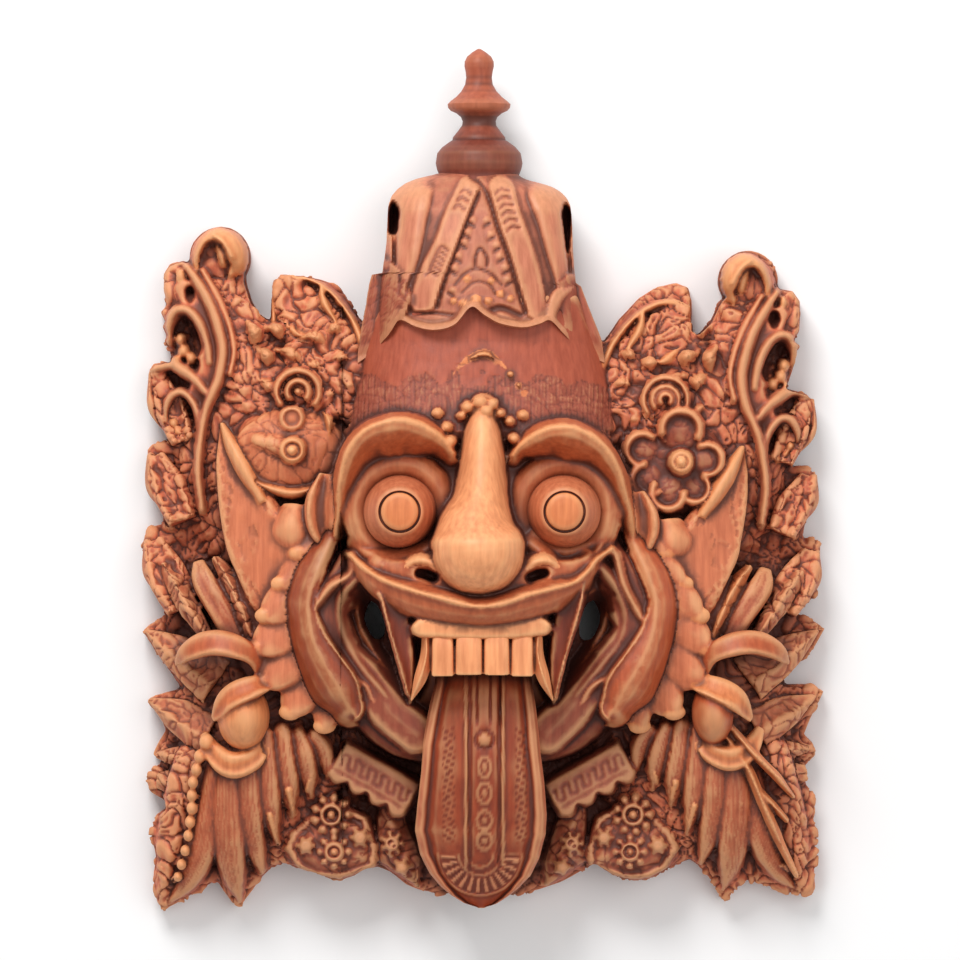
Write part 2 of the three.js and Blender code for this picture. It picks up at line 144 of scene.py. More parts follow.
def limbBlank(sides, rings):
    # a cylinder along z from 0 to 1, cut into rings
    deselectAll()
    bpy.ops.mesh.primitive_cylinder_add(vertices=sides, radius=1, depth=1, location=(0, 0, 0.5))
    blank = bpy.context.object
    bpy.ops.object.transform_apply(location=True)
    bpy.ops.object.mode_set(mode="EDIT")
    bpy.ops.mesh.select_mode(type="EDGE")
    bpy.ops.mesh.select_all(action="DESELECT")
    bpy.ops.object.mode_set(mode="OBJECT")
    for edge in blank.data.edges:
        low, high = (blank.data.vertices[i].co.z for i in edge.vertices)
        edge.select = abs(low - high) > 0.5
    bpy.ops.object.mode_set(mode="EDIT")
    bpy.ops.mesh.subdivide(number_cuts=rings - 1)
    bpy.ops.object.mode_set(mode="OBJECT")
    return takeShape(blank)


def ballBlank(columns, rows):
    deselectAll()
    bpy.ops.mesh.primitive_uv_sphere_add(segments=columns, ring_count=rows, radius=1)
    return takeShape(bpy.context.object)


print("blanks")
blanks = {
    "limb": limbBlank(26, 34),
    "long": limbBlank(26, 90),
    "ball": ballBlank(40, 24),
    "bead": ballBlank(14, 9),
    "face": ballBlank(96, 64),
    "hollow": ballBlank(64, 48),
}


def curveThrough(stations, t):
    # a smooth curve through evenly spaced stations, for places and for sizes alike
    stations = np.asarray(stations, dtype=float)
    if len(stations) == 1:
        return np.repeat(stations[:1], len(t), axis=0)
    if len(stations) == 2:
        whole = np.asarray(t)[:, None] if stations.ndim > 1 else np.asarray(t)
        return stations[0] * (1 - whole) + stations[1] * whole
    padded = np.concatenate([[2 * stations[0] - stations[1]], stations, [2 * stations[-1] - stations[-2]]])
    place = np.clip(t, 0, 1) * (len(stations) - 1)
    k = np.minimum(place.astype(int), len(stations) - 2)
    f = place - k
    if stations.ndim > 1:
        f = f[:, None]
    a, b, c, d = padded[k], padded[k + 1], padded[k + 2], padded[k + 3]
    return 0.5 * (2 * b + (c - a) * f + (2 * a - 5 * b + 4 * c - d) * f**2 + (3 * b - a - 3 * c + d) * f**3)


# Sections of a limb, from the left to the right of its run: shares of its rise.
sections = {
    "round": [0, 0.45, 0.74, 0.92, 1, 0.92, 0.74, 0.45, 0],
    "flat": [0.6, 0.95, 1, 1, 1, 1, 1, 0.95, 0.6],
    "ridge": [0, 0.22, 0.46, 0.72, 1, 0.72, 0.46, 0.22, 0],
    "scoop": [0.2, 1, 0.8, 0.5, 0.4, 0.5, 0.8, 1, 0.2],
    "rightHigh": [0, 0.25, 0.3, 0.35, 0.45, 0.6, 0.85, 1, 0.1],
}

# The wings were cut by eye: the right one stands lower at its top and higher at its foot than the left one.
rightWing = {"heights": [-215, -75, 40], "rises": [7, 0, -13]}


def wingHeight(y):
    return y + np.interp(y, rightWing["heights"], rightWing["rises"])


def onSide(points, side, wing):
    # a form is drawn with x outwards from the middle, and set on the left, the right or as it is drawn
    placed = np.array(points)
    if side > 0 and wing:
        placed[:, 1] = wingHeight(placed[:, 1])
    if side < 0:
        placed[:, 0] *= -1
    return placed


class Block:
    # forms that are joined into one piece of wood

    def __init__(self):
        self.shapes = []

    def add(self, blank, points, side, wing, tone, finish, across, along):
        count = len(points)
        placed = onSide(points, side, wing)
        self.shapes.append((placed, blank[1], blank[2], [
            np.tile(linearTone(tone), (count, 1)),
            np.tile(finish, (count, 1)),
            np.column_stack([across, along, np.zeros(count)]),
        ], True))

    def limb(self, spine, widths, rises, section="round", root=8, sinks=None, side=0, wing=False,
             tone="ground", polish=0.4, crumb=0.0, strands=0.0, blank="limb", out=(0, 0, 1)):
        shape = blanks[blank]
        angle = np.arctan2(shape[0][:, 1], shape[0][:, 0]) % (2 * math.pi)
        turn = angle / (2 * math.pi)
        frontShare = 0.7
        front = turn <= frontShare
        angle = np.where(front, math.pi * turn / frontShare,
                         math.pi * (1 + (turn - frontShare) / (1 - frontShare)))
        across, outward = np.cos(angle), np.sin(angle)
        t = shape[0][:, 2]
        step = 0.002
        centre = curveThrough(spine, t)
        ahead = curveThrough(spine, np.minimum(t + step, 1))
        behind = curveThrough(spine, np.maximum(t - step, 0))
        tangent = ahead - behind
        tangent /= np.linalg.norm(tangent, axis=1)[:, None]
        up = np.asarray(out, dtype=float) - tangent * (tangent @ np.asarray(out, dtype=float))[:, None]
        up /= np.linalg.norm(up, axis=1)[:, None]
        sideways = np.cross(tangent, up)
        width = np.maximum(curveThrough(widths, t), 0.4)
        rise = np.maximum(curveThrough(rises, t), 0.2)
        cut = sections[section] if isinstance(section, str) else section
        share = np.interp(across, np.linspace(-1, 1, len(cut)), cut)
        corner = np.minimum(1, 3 * np.abs(outward))
        top = outward >= -1e-9
        points = centre + sideways * (across * width / 2)[:, None]
        raised = points + up * (rise * share * corner)[:, None]
        if sinks is None:
            sunk = points.copy()
            sunk[:, 2] = root + (points[:, 2] - root) * (1 - corner)
        else:
            sink = np.maximum(curveThrough(sinks, t), 0.2)
            sunk = points - up * (sink * corner)[:, None]
        points = np.where(top[:, None], raised, sunk)
        length = np.linalg.norm(np.diff(curveThrough(spine, np.linspace(0, 1, 20)), axis=0), axis=1).sum()
        self.add(shape, points, side, wing, tone, (polish, crumb, strands), across * width / 2, t * length)

    def ball(self, centre, radii, side=0, wing=False, tone="ground", polish=0.4, crumb=0.0, strands=0.0,
             blank="ball"):
        shape = blanks[blank]
        points = np.asarray(centre, dtype=float) + shape[0] * np.asarray(radii, dtype=float)
        self.add(shape, points, side, wing, tone, (polish, crumb, strands), points[:, 0], points[:, 1])

    def joined(self, name, voxel, floor=0.0, keepOut=None):
        # one closed skin round all the forms, in the drawing's millimetres
        sets = [pushedOut(s[0], keepOut) if keepOut and s[4] else s[0] for s in self.shapes]
        points = np.concatenate(sets)
        points[:, 2] = np.maximum(points[:, 2], floor)
        counts = np.cumsum([0] + [len(s[0]) for s in self.shapes])
        loops = np.cumsum([0] + [len(s[1]) for s in self.shapes])
        corners = np.concatenate([s[1] + counts[i] for i, s in enumerate(self.shapes)])
        starts = np.concatenate([s[2] + loops[i] for i, s in enumerate(self.shapes)])
        piece = makePiece(name, (points, corners, starts))
        for k, (label, kind) in enumerate(pointMarks):
            values = np.concatenate([s[3][k] for s in self.shapes])
            writeMark(piece, label, kind, values)
        piece.data.remesh_voxel_size = voxel
        piece.data.remesh_voxel_adaptivity = 0
        piece.data.use_remesh_fix_poles = False
        piece.data.use_remesh_preserve_volume = False
        piece.data.use_remesh_preserve_attributes = True
        makeActive(piece)
        bpy.ops.object.voxel_remesh()
        return piece


# What each point of a piece remembers: its tone, its finish (polish, crumb, strands) and its place
# on its form.
pointMarks = [("tint", "FLOAT_VECTOR"), ("finish", "FLOAT_VECTOR"), ("place", "FLOAT_VECTOR")]


def writeMark(piece, label, kind, values):
    old = piece.data.attributes.get(label)
    if old:
        piece.data.attributes.remove(old)
    mark = piece.data.attributes.new(label, kind, "POINT")
    mark.data.foreach_set("vector" if kind == "FLOAT_VECTOR" else "value",
                          np.asarray(values, dtype=np.float32).ravel())


def readMark(piece, label):
    mark = piece.data.attributes[label]
    values = np.empty(len(piece.data.vertices) * 3, dtype=np.float32)
    mark.data.foreach_get("vector", values)
    return values.reshape(-1, 3).astype(float)


# The head's half-sizes, and how much smaller the hollow is to each side and below the face.
face = {"centre": (0, -36, 0), "radii": (90, 112, 86), "walls": (17, 17, 23.8)}
hollowRadii = [radius - wall for radius, wall in zip(face["radii"], face["walls"])]
hollowCut = {"rim": -6, "flare": 1.2, "foot": -200}


def pushedOut(points, spare):
    # roots of forms that would reach into the hollow stop short of it
    centre = np.array(face["centre"], dtype=float)
    radii = np.array(hollowRadii) + spare
    away = (points - centre) / radii
    far = np.linalg.norm(away, axis=1)
    inside = (far < 1) & (points[:, 2] > 0.5)
    scale = np.where(inside, 1 / np.maximum(far, 1e-6), 1)
    return centre + away * radii * scale[:, None]


def booleanCut(piece, cutters):
    for cutter in cutters:
        makeActive(piece)
        cut = piece.modifiers.new("cut", "BOOLEAN")
        cut.operation = "DIFFERENCE"
        cut.solver = "EXACT"
        cut.object = cutter
        bpy.ops.object.modifier_apply(modifier=cut.name)
    return piece


def headArc(centre, reach):
    # the round head of a wing's scroll, from its inner foot over the top to its outer foot
    return [(centre[0] + reach * math.cos(a), centre[1] + reach * math.sin(a))
            for a in np.radians(np.linspace(215, -10, 18))]


# Outlines seen from the front, from the middle of the top round one wing to the middle of the foot.
leftOutline = [
    (40, 94), (49, 94), (54, 84), (60, 80), (66, 88.5), (72, 98.5), (81, 102), (91, 104), (101, 104.5),
    (105, 101), (104, 97), (106, 93.5), (106.5, 81), (112, 84.5), (116, 91), (118.5, 98.5),
] + headArc((132, 113), 15.5) + [
    (151, 111.5), (157, 109.5), (160, 105), (160.5, 98.5), (159, 88.5), (162, 85.5), (159.5, 81), (161, 78),
    (159, 74), (160, 70.5), (157, 66), (156.5, 60.5), (165, 59), (167.5, 56), (166, 48.5), (163, 38.5),
    (161, 28.5), (157, 20.5), (166, 19), (168.5, 16), (168, 11), (167, 1), (165, -9), (159, -20.5),
    (168, -23.5), (171, -31.5), (170, -46.5), (166, -54), (161, -60), (159, -67), (168, -72), (171, -75),
    (163.5, -86.5), (157, -95), (151, -104), (164, -107.5), (168.5, -110), (162, -118), (159, -125),
    (163, -131), (166, -137.5), (160, -140.5), (165, -143.5), (169, -149), (167, -155.5), (160, -160),
    (159, -164), (164.5, -168), (163.5, -171.5), (166.5, -175), (165.5, -180.5), (164, -189),
    (165.5, -196.5), (165, -205), (163.5, -212), (160, -215.5), (148.5, -209), (138.5, -203),
    (133.5, -200.5), (130, -206.5), (126, -212), (122, -214), (117, -207.5), (111, -199), (106, -194),
    (99.5, -191.5), (93.5, -194), (81, -198), (71, -200), (65, -198.5), (58.5, -194.5), (52.5, -193.5),
    (46, -196.5), (38.5, -202.5), (31, -205.5), (20, -207),
]
rightOutline = [
    (40, 94), (48, 94), (54, 80), (58, 72), (61.5, 71), (69, 82), (79, 92.5), (89, 98.5), (98, 100.5),
    (104, 98), (105.5, 91), (105.5, 75), (109, 74.5), (115, 81), (119, 89.5),
] + headArc((134, 101.5), 15) + [
    (150, 97), (156.5, 96), (160, 91), (160, 76), (157, 71), (161, 68.5), (158.5, 66), (158, 61), (153, 47),
    (163, 44.5), (166.5, 41), (165, 28.5), (159, 18.5), (152, 9), (164, 7), (168.5, 3.5), (166.5, -4),
    (163, -19), (161, -28), (168, -29), (170.5, -31), (170, -44), (168, -56.5), (158, -66), (168, -70.5),
    (172.5, -74), (166.5, -84), (156.5, -94), (149, -102), (166, -102), (172, -105.5), (166.5, -116.5),
    (162, -127), (167, -132), (168, -137.5), (162, -143), (163, -152), (166.5, -159), (168, -166),
    (166.5, -171), (169, -176), (167, -184), (169, -189), (167.5, -195), (168, -204), (166, -208),
    (154, -206.5), (141.5, -202.5), (132.5, -200), (127, -206), (121, -211), (116.5, -201.5), (109, -193),
    (104.5, -190), (95, -194), (84, -200), (76.5, -200.5), (66.5, -198), (56.5, -192), (49, -196.5),
    (39, -201.5), (29, -205), (18, -207.5),
]


def boardShape(outline, low, high, bevel):
    # a flat form with a rounded upper rim, from its outline
    deselectAll()
    bpy.ops.mesh.primitive_circle_add(vertices=len(outline), radius=1, fill_type="NGON")
    board = bpy.context.object
    for vertex, (x, y) in zip(board.data.vertices, outline):
        vertex.co = (x, y, low)
    bpy.ops.object.mode_set(mode="EDIT")
    bpy.ops.mesh.select_all(action="SELECT")
    bpy.ops.mesh.extrude_region_move(TRANSFORM_OT_translate={"value": (0, 0, high - low)})
    bpy.ops.mesh.inset(thickness=bevel, depth=0)
    bpy.ops.transform.translate(value=(0, 0, bevel * 0.8))
    bpy.ops.mesh.select_all(action="SELECT")
    bpy.ops.mesh.normals_make_consistent(inside=False)
    bpy.ops.object.mode_set(mode="OBJECT")
    return board


def addShape(block, piece, tone, finish):
    shape = takeShape(piece)
    count = len(shape[0])
    block.shapes.append((shape[0], shape[1], shape[2], [
        np.tile(linearTone(tone), (count, 1)), np.tile(finish, (count, 1)),
        np.column_stack([shape[0][:, 0], shape[0][:, 1], np.zeros(count)]),
    ], False))


def hollowCutter():
    # the cut runs on below the flat back and flares there, so that no film is left across it
    points = np.asarray(face["centre"]) + blanks["hollow"][0] * hollowRadii
    level = points[:, 2].copy()
    points[level < 0.01, 2] = hollowCut["rim"]
    flared = points[level < -0.01] - face["centre"]
    flared = flared * (hollowCut["flare"], hollowCut["flare"], 0) + face["centre"]
    points[level < -0.01] = flared + (0, 0, hollowCut["foot"])
    return makePiece("hollowCutter", (points, blanks["hollow"][1], blanks["hollow"][2]))


mouthPits = {"foot": (54, -68, 20), "middle": (54, -69, 60), "mouth": (54, -69, 110)}


def pitCutter(side):
    block = Block()
    block.limb([mouthPits["foot"], mouthPits["middle"], mouthPits["mouth"]], [11, 11, 11], [11, 11, 11],
               sinks=[11, 11, 11], side=side, out=(0, 1, 0))
    points, corners, starts = block.shapes[0][:3]
    cutter = makePiece("pitCutter", (points, corners, starts))
    makeActive(cutter)
    bpy.ops.object.mode_set(mode="EDIT")
    bpy.ops.mesh.select_all(action="SELECT")
    bpy.ops.mesh.normals_make_consistent(inside=False)
    bpy.ops.object.mode_set(mode="OBJECT")
    return cutter


print("ground and face")
wood = Block()
cutters = [hollowCutter(), pitCutter(-1), pitCutter(1)]
outline = rightOutline + [(-x, y) for x, y in reversed(leftOutline)]
board = booleanCut(boardShape(outline, 0, 12, 3.5), cutters[:1])
addShape(wood, board, "ground", (0.2, 1.0, 0.0))
facePoints = np.asarray(face["centre"]) + blanks["face"][0] * (np.array(face["radii"]) - (4, 4, 22))
faceMass = makePiece("faceMass", (facePoints, blanks["face"][1], blanks["face"][2]))
booleanCut(faceMass, cutters)
addShape(wood, faceMass, "mouth", (0.5, 0.0, 0.0))
for side in (-1, 1):
    for centre, radii in (((100, 16, 0), (54, 60, 30)), ((104, -118, 0), (50, 72, 30))):
        points = np.asarray(centre) + blanks["face"][0] * radii
        mound = makePiece("mound", (onSide(points, side, True), blanks["face"][1], blanks["face"][2]))
        booleanCut(mound, cutters[:1])
        addShape(wood, mound, "ground", (0.2, 1.0, 0.0))
for cutter in cutters:
    bpy.data.objects.remove(cutter)

print("face")


def latticeNoise(points, scale, seed):
    # smooth noise between -1 and 1
    cell = np.asarray(points) / scale
    low = np.floor(cell).astype(np.int64)
    f = cell - low
    f = f * f * (3 - 2 * f)
    total = np.zeros(len(cell))
    for corner in range(8):
        step = np.array([corner & 1, corner >> 1 & 1, corner >> 2 & 1])
        weight = np.prod(np.where(step, f, 1 - f), axis=1)
        total += weight * randomAt(low + step, seed)
    return total * 2 - 1


# Odd factors that scatter the numbers of neighbouring cells, and the range that is kept of the result.
scatter = {"cell": (73856093, 19349663, 83492791), "seed": 2654435761, "mix": 1274126177, "range": 0xFFFFFF}


def randomAt(cells, seed):
    # an even random number from 0 to 1 for each whole-numbered cell
    mixed = seed * scatter["seed"]
    for axis, factor in enumerate(scatter["cell"]):
        mixed = mixed ^ (cells[:, axis] * factor)
    mixed = (mixed ^ (mixed >> 13)) * scatter["mix"]
    return ((mixed ^ (mixed >> 16)) & scatter["range"]) / scatter["range"]


def smoothStep(low, high, value):
    t = np.clip((value - low) / (high - low), 0, 1)
    return t * t * (3 - 2 * t)


class Relief:
    # heights over a square grid, built up and cut down form by form; each form leaves its tone and finish

    def __init__(self, low, high, cell):
        self.low, self.cell = np.array(low, float), cell
        self.columns = int((high[0] - low[0]) / cell) + 1
        self.rows = int((high[1] - low[1]) / cell) + 1
        across, down = np.meshgrid(np.arange(self.columns), np.arange(self.rows))
        self.x = low[0] + across.ravel() * cell
        self.y = low[1] + down.ravel() * cell
        self.z = np.zeros(len(self.x))
        self.tint = np.tile(linearTone("face"), (len(self.x), 1))
        self.finish = np.tile((0.55, 0.0, 0.0), (len(self.x), 1))
        self.place = np.column_stack([self.x, self.y, np.zeros(len(self.x))])

    def paint(self, where, tone, finish, place=None):
        self.tint[where] = linearTone(tone)
        self.finish[where] = finish
        if place is not None:
            self.place[where, 0] = place

    def sweep(self, stations, section, tone, polish=0.55, crumb=0.0, strands=0.0, cutting=False, keep=None):
        # stations: x, y, z, reach to the left and reach to the right of the run
        # section: share of the reach, height above the run
        run = np.array(stations, float)
        line = curveThrough(run, np.linspace(0, 1, 12 * (len(run) - 1) + 1))
        margin = line[:, 3:5].max() + 1
        near = np.flatnonzero((self.x > line[:, 0].min() - margin) & (self.x < line[:, 0].max() + margin) &
                              (self.y > line[:, 1].min() - margin) & (self.y < line[:, 1].max() + margin))
        px, py = self.x[near], self.y[near]
        best = np.full(len(near), 1e9)
        side = np.zeros(len(near))
        mark = np.zeros((len(near), 3))
        for a, b in zip(line[:-1], line[1:]):
            way = b[:2] - a[:2]
            length = max(np.linalg.norm(way), 1e-6)
            t = ((px - a[0]) * way[0] + (py - a[1]) * way[1]) / length**2
            tc = np.clip(t, 0, 1)
            dx, dy = px - a[0] - tc * way[0], py - a[1] - tc * way[1]
            gap = np.hypot(dx, dy)
            closer = gap < best
            best = np.where(closer, gap, best)
            side = np.where(closer, np.sign(way[0] * dy - way[1] * dx), side)
            mark = np.where(closer[:, None], a[2:5] + tc[:, None] * (b[2:5] - a[2:5]), mark)
        reach = np.maximum(np.where(side > 0, mark[:, 1], mark[:, 2]), 0.01)
        share = side * best / reach
        height = mark[:, 0] + np.interp(share, [p[0] for p in section], [p[1] for p in section])
        inside = np.abs(share) <= 1
        if keep is not None:
            inside &= keep[near]
        change = inside & ((height < self.z[near]) if cutting else (height > self.z[near]))
        self.z[near[change]] = height[change]
        if tone:
            self.paint(near[change], tone, (polish, crumb, strands), (best * side)[change])

    def dome(self, centre, radii, top, power=0.5, tone="face", polish=0.55, crumb=0.0):
        away = ((self.x - centre[0]) / radii[0]) ** 2 + ((self.y - centre[1]) / radii[1]) ** 2
        height = top - radii[2] * (1 - np.clip(1 - away, 0, 1) ** power)
        change = (away < 1) & (height > self.z)
        self.z[change] = height[change]
        self.paint(change, tone, (polish, crumb, 0))

    def within(self, outline):
        # points inside an outline, and their distance from it
        inside = np.zeros(len(self.x), bool)
        gap = np.full(len(self.x), 1e9)
        closed = list(outline) + [outline[0]]
        for (ax, ay), (bx, by) in zip(closed[:-1], closed[1:]):
            crosses = (ay > self.y) != (by > self.y)
            place = (bx - ax) * (self.y - ay) / (by - ay if by != ay else 1e-9) + ax
            inside ^= crosses & (self.x < place)
            length = (bx - ax) ** 2 + (by - ay) ** 2
            t = np.clip(((self.x - ax) * (bx - ax) + (self.y - ay) * (by - ay)) / length, 0, 1)
            gap = np.minimum(gap, np.hypot(self.x - ax - t * (bx - ax), self.y - ay - t * (by - ay)))
        return inside, gap

    def soften(self, rounds):
        field = self.z.reshape(self.rows, self.columns)
        for _ in range(rounds):
            padded = np.pad(field, 1, mode="edge")
            beside = padded[:-2, 1:-1] + padded[2:, 1:-1] + padded[1:-1, :-2] + padded[1:-1, 2:]
            field = field * 0.4 + 0.15 * beside
        self.z = field.ravel()

    def at(self, values, x, y):
        column = np.clip((x - self.low[0]) / self.cell, 0, self.columns - 1.001)
        row = np.clip((y - self.low[1]) / self.cell, 0, self.rows - 1.001)
        c, r = column.astype(int), row.astype(int)
        fc, fr = column - c, row - r
        field = values.reshape(self.rows, self.columns)
        return ((field[r, c] * (1 - fc) + field[r, c + 1] * fc) * (1 - fr) +
                (field[r + 1, c] * (1 - fc) + field[r + 1, c + 1] * fc) * fr)

    def slab(self, name, keep, under):
        # a closed slab between the heights and the surface under them
        deselectAll()
        bpy.ops.mesh.primitive_grid_add(x_subdivisions=self.columns - 1, y_subdivisions=self.rows - 1,
                                        size=2)
        piece = bpy.context.object
        piece.name = name
        points, _, _ = readShape(piece)
        column = np.round((points[:, 0] + 1) / 2 * (self.columns - 1)).astype(int)
        row = np.round((points[:, 1] + 1) / 2 * (self.rows - 1)).astype(int)
        index = row * self.columns + column
        points = np.column_stack([self.x[index], self.y[index], np.zeros(len(index))])
        writePoints(piece, points)
        piece.data.vertices.foreach_set("select", ~keep[index])
        bpy.ops.object.mode_set(mode="EDIT")
        bpy.ops.mesh.select_mode(type="VERT")
        bpy.ops.object.mode_set(mode="OBJECT")
        for domain in (piece.data.edges, piece.data.polygons):
            domain.foreach_set("select", np.zeros(len(domain), bool))
        piece.data.vertices.foreach_set("select", ~keep[index])
        bpy.ops.object.mode_set(mode="EDIT")
        bpy.ops.mesh.delete(type="VERT")
        bpy.ops.mesh.select_all(action="SELECT")
        bpy.ops.mesh.extrude_region_move(TRANSFORM_OT_translate={"value": (0, 0, -1)})
        bpy.ops.mesh.select_all(action="SELECT")
        bpy.ops.mesh.normals_make_consistent(inside=False)
        bpy.ops.object.mode_set(mode="OBJECT")
        points, corners, starts = takeShape(piece)
        bottom = points[:, 2] < -0.5
        x, y = points[:, 0], points[:, 1]
        top = self.at(self.z, x, y)
        points[:, 2] = np.where(bottom, np.minimum(under(x, y), top - 1.5), top)
        nearest = (np.round((y - self.low[1]) / self.cell).astype(int) * self.columns +
                   np.round((x - self.low[0]) / self.cell).astype(int))
        return (points, corners, starts, [self.tint[nearest], self.finish[nearest], self.place[nearest]],
                False)


def ovalHeight(x, y, radii):
    away = (x / radii[0]) ** 2 + ((y - face["centre"][1]) / radii[1]) ** 2
    return radii[2] * np.sqrt(np.clip(1 - away, 0, 1))


crestCut = [(-1, -18), (-0.55, -5), (-0.25, 0), (0.06, 0.8), (0.13, -0.4), (0.18, -2.2), (0.26, -1.8),
            (0.6, -6), (0.92, -12), (1, -16)]
roundCut = [(-1, -9), (-0.8, -4.5), (-0.5, -1.6), (-0.25, -0.4), (0, 0), (0.25, -0.4), (0.5, -1.6),
            (0.8, -4.5), (1, -9)]
foldCut = [(-1, -6), (-0.5, -2), (-0.15, -0.2), (0, 0), (0.15, -0.2), (0.5, -2), (1, -6)]


def arcPoints(centre, reach, height, start, end, level, count=9):
    return [(centre[0] + reach * math.cos(a), centre[1] + height * math.sin(a), level)
            for a in np.radians(np.linspace(start, end, count))]


def mirrored(stations, side):
    # a run drawn on the left half; on the right it runs the other way round, so that its left stays outside
    if side < 0:
        return stations
    return [(-s[0], s[1], s[2], s[4], s[3]) for s in stations]


def pitCut(relief, centre, radii, floor, tone="ground"):
    # a hollow that is deepest at its top, under the arch that covers it
    away = ((relief.x - centre[0]) / radii[0]) ** 2 + ((relief.y - centre[1]) / radii[1]) ** 2
    share = np.clip((relief.y - centre[1]) / radii[1], -1, 1)
    level = floor[1] + (floor[0] - floor[1]) * smoothStep(-1, 0.9, share)
    depth = level + 14 * smoothStep(0.7, 1.05, away)
    change = (away < 1.05) & (depth < relief.z)
    relief.z[change] = depth[change]
    relief.paint(change, tone, (0.45, 0.1, 0))


def sectionOf(kind, fall):
    shapes = {
        "round": [(0, 0), (0.25, 0.04), (0.5, 0.18), (0.8, 0.5), (1, 1)],
        "flat": [(0, 0), (0.6, 0.05), (0.85, 0.25), (1, 1)],
        "ridge": [(0, 0), (0.15, 0.03), (0.5, 0.42), (1, 1)],
    }
    half = shapes[kind]
    return [(-u, -fall * h) for u, h in reversed(half)] + [(u, -fall * h) for u, h in half[1:]]


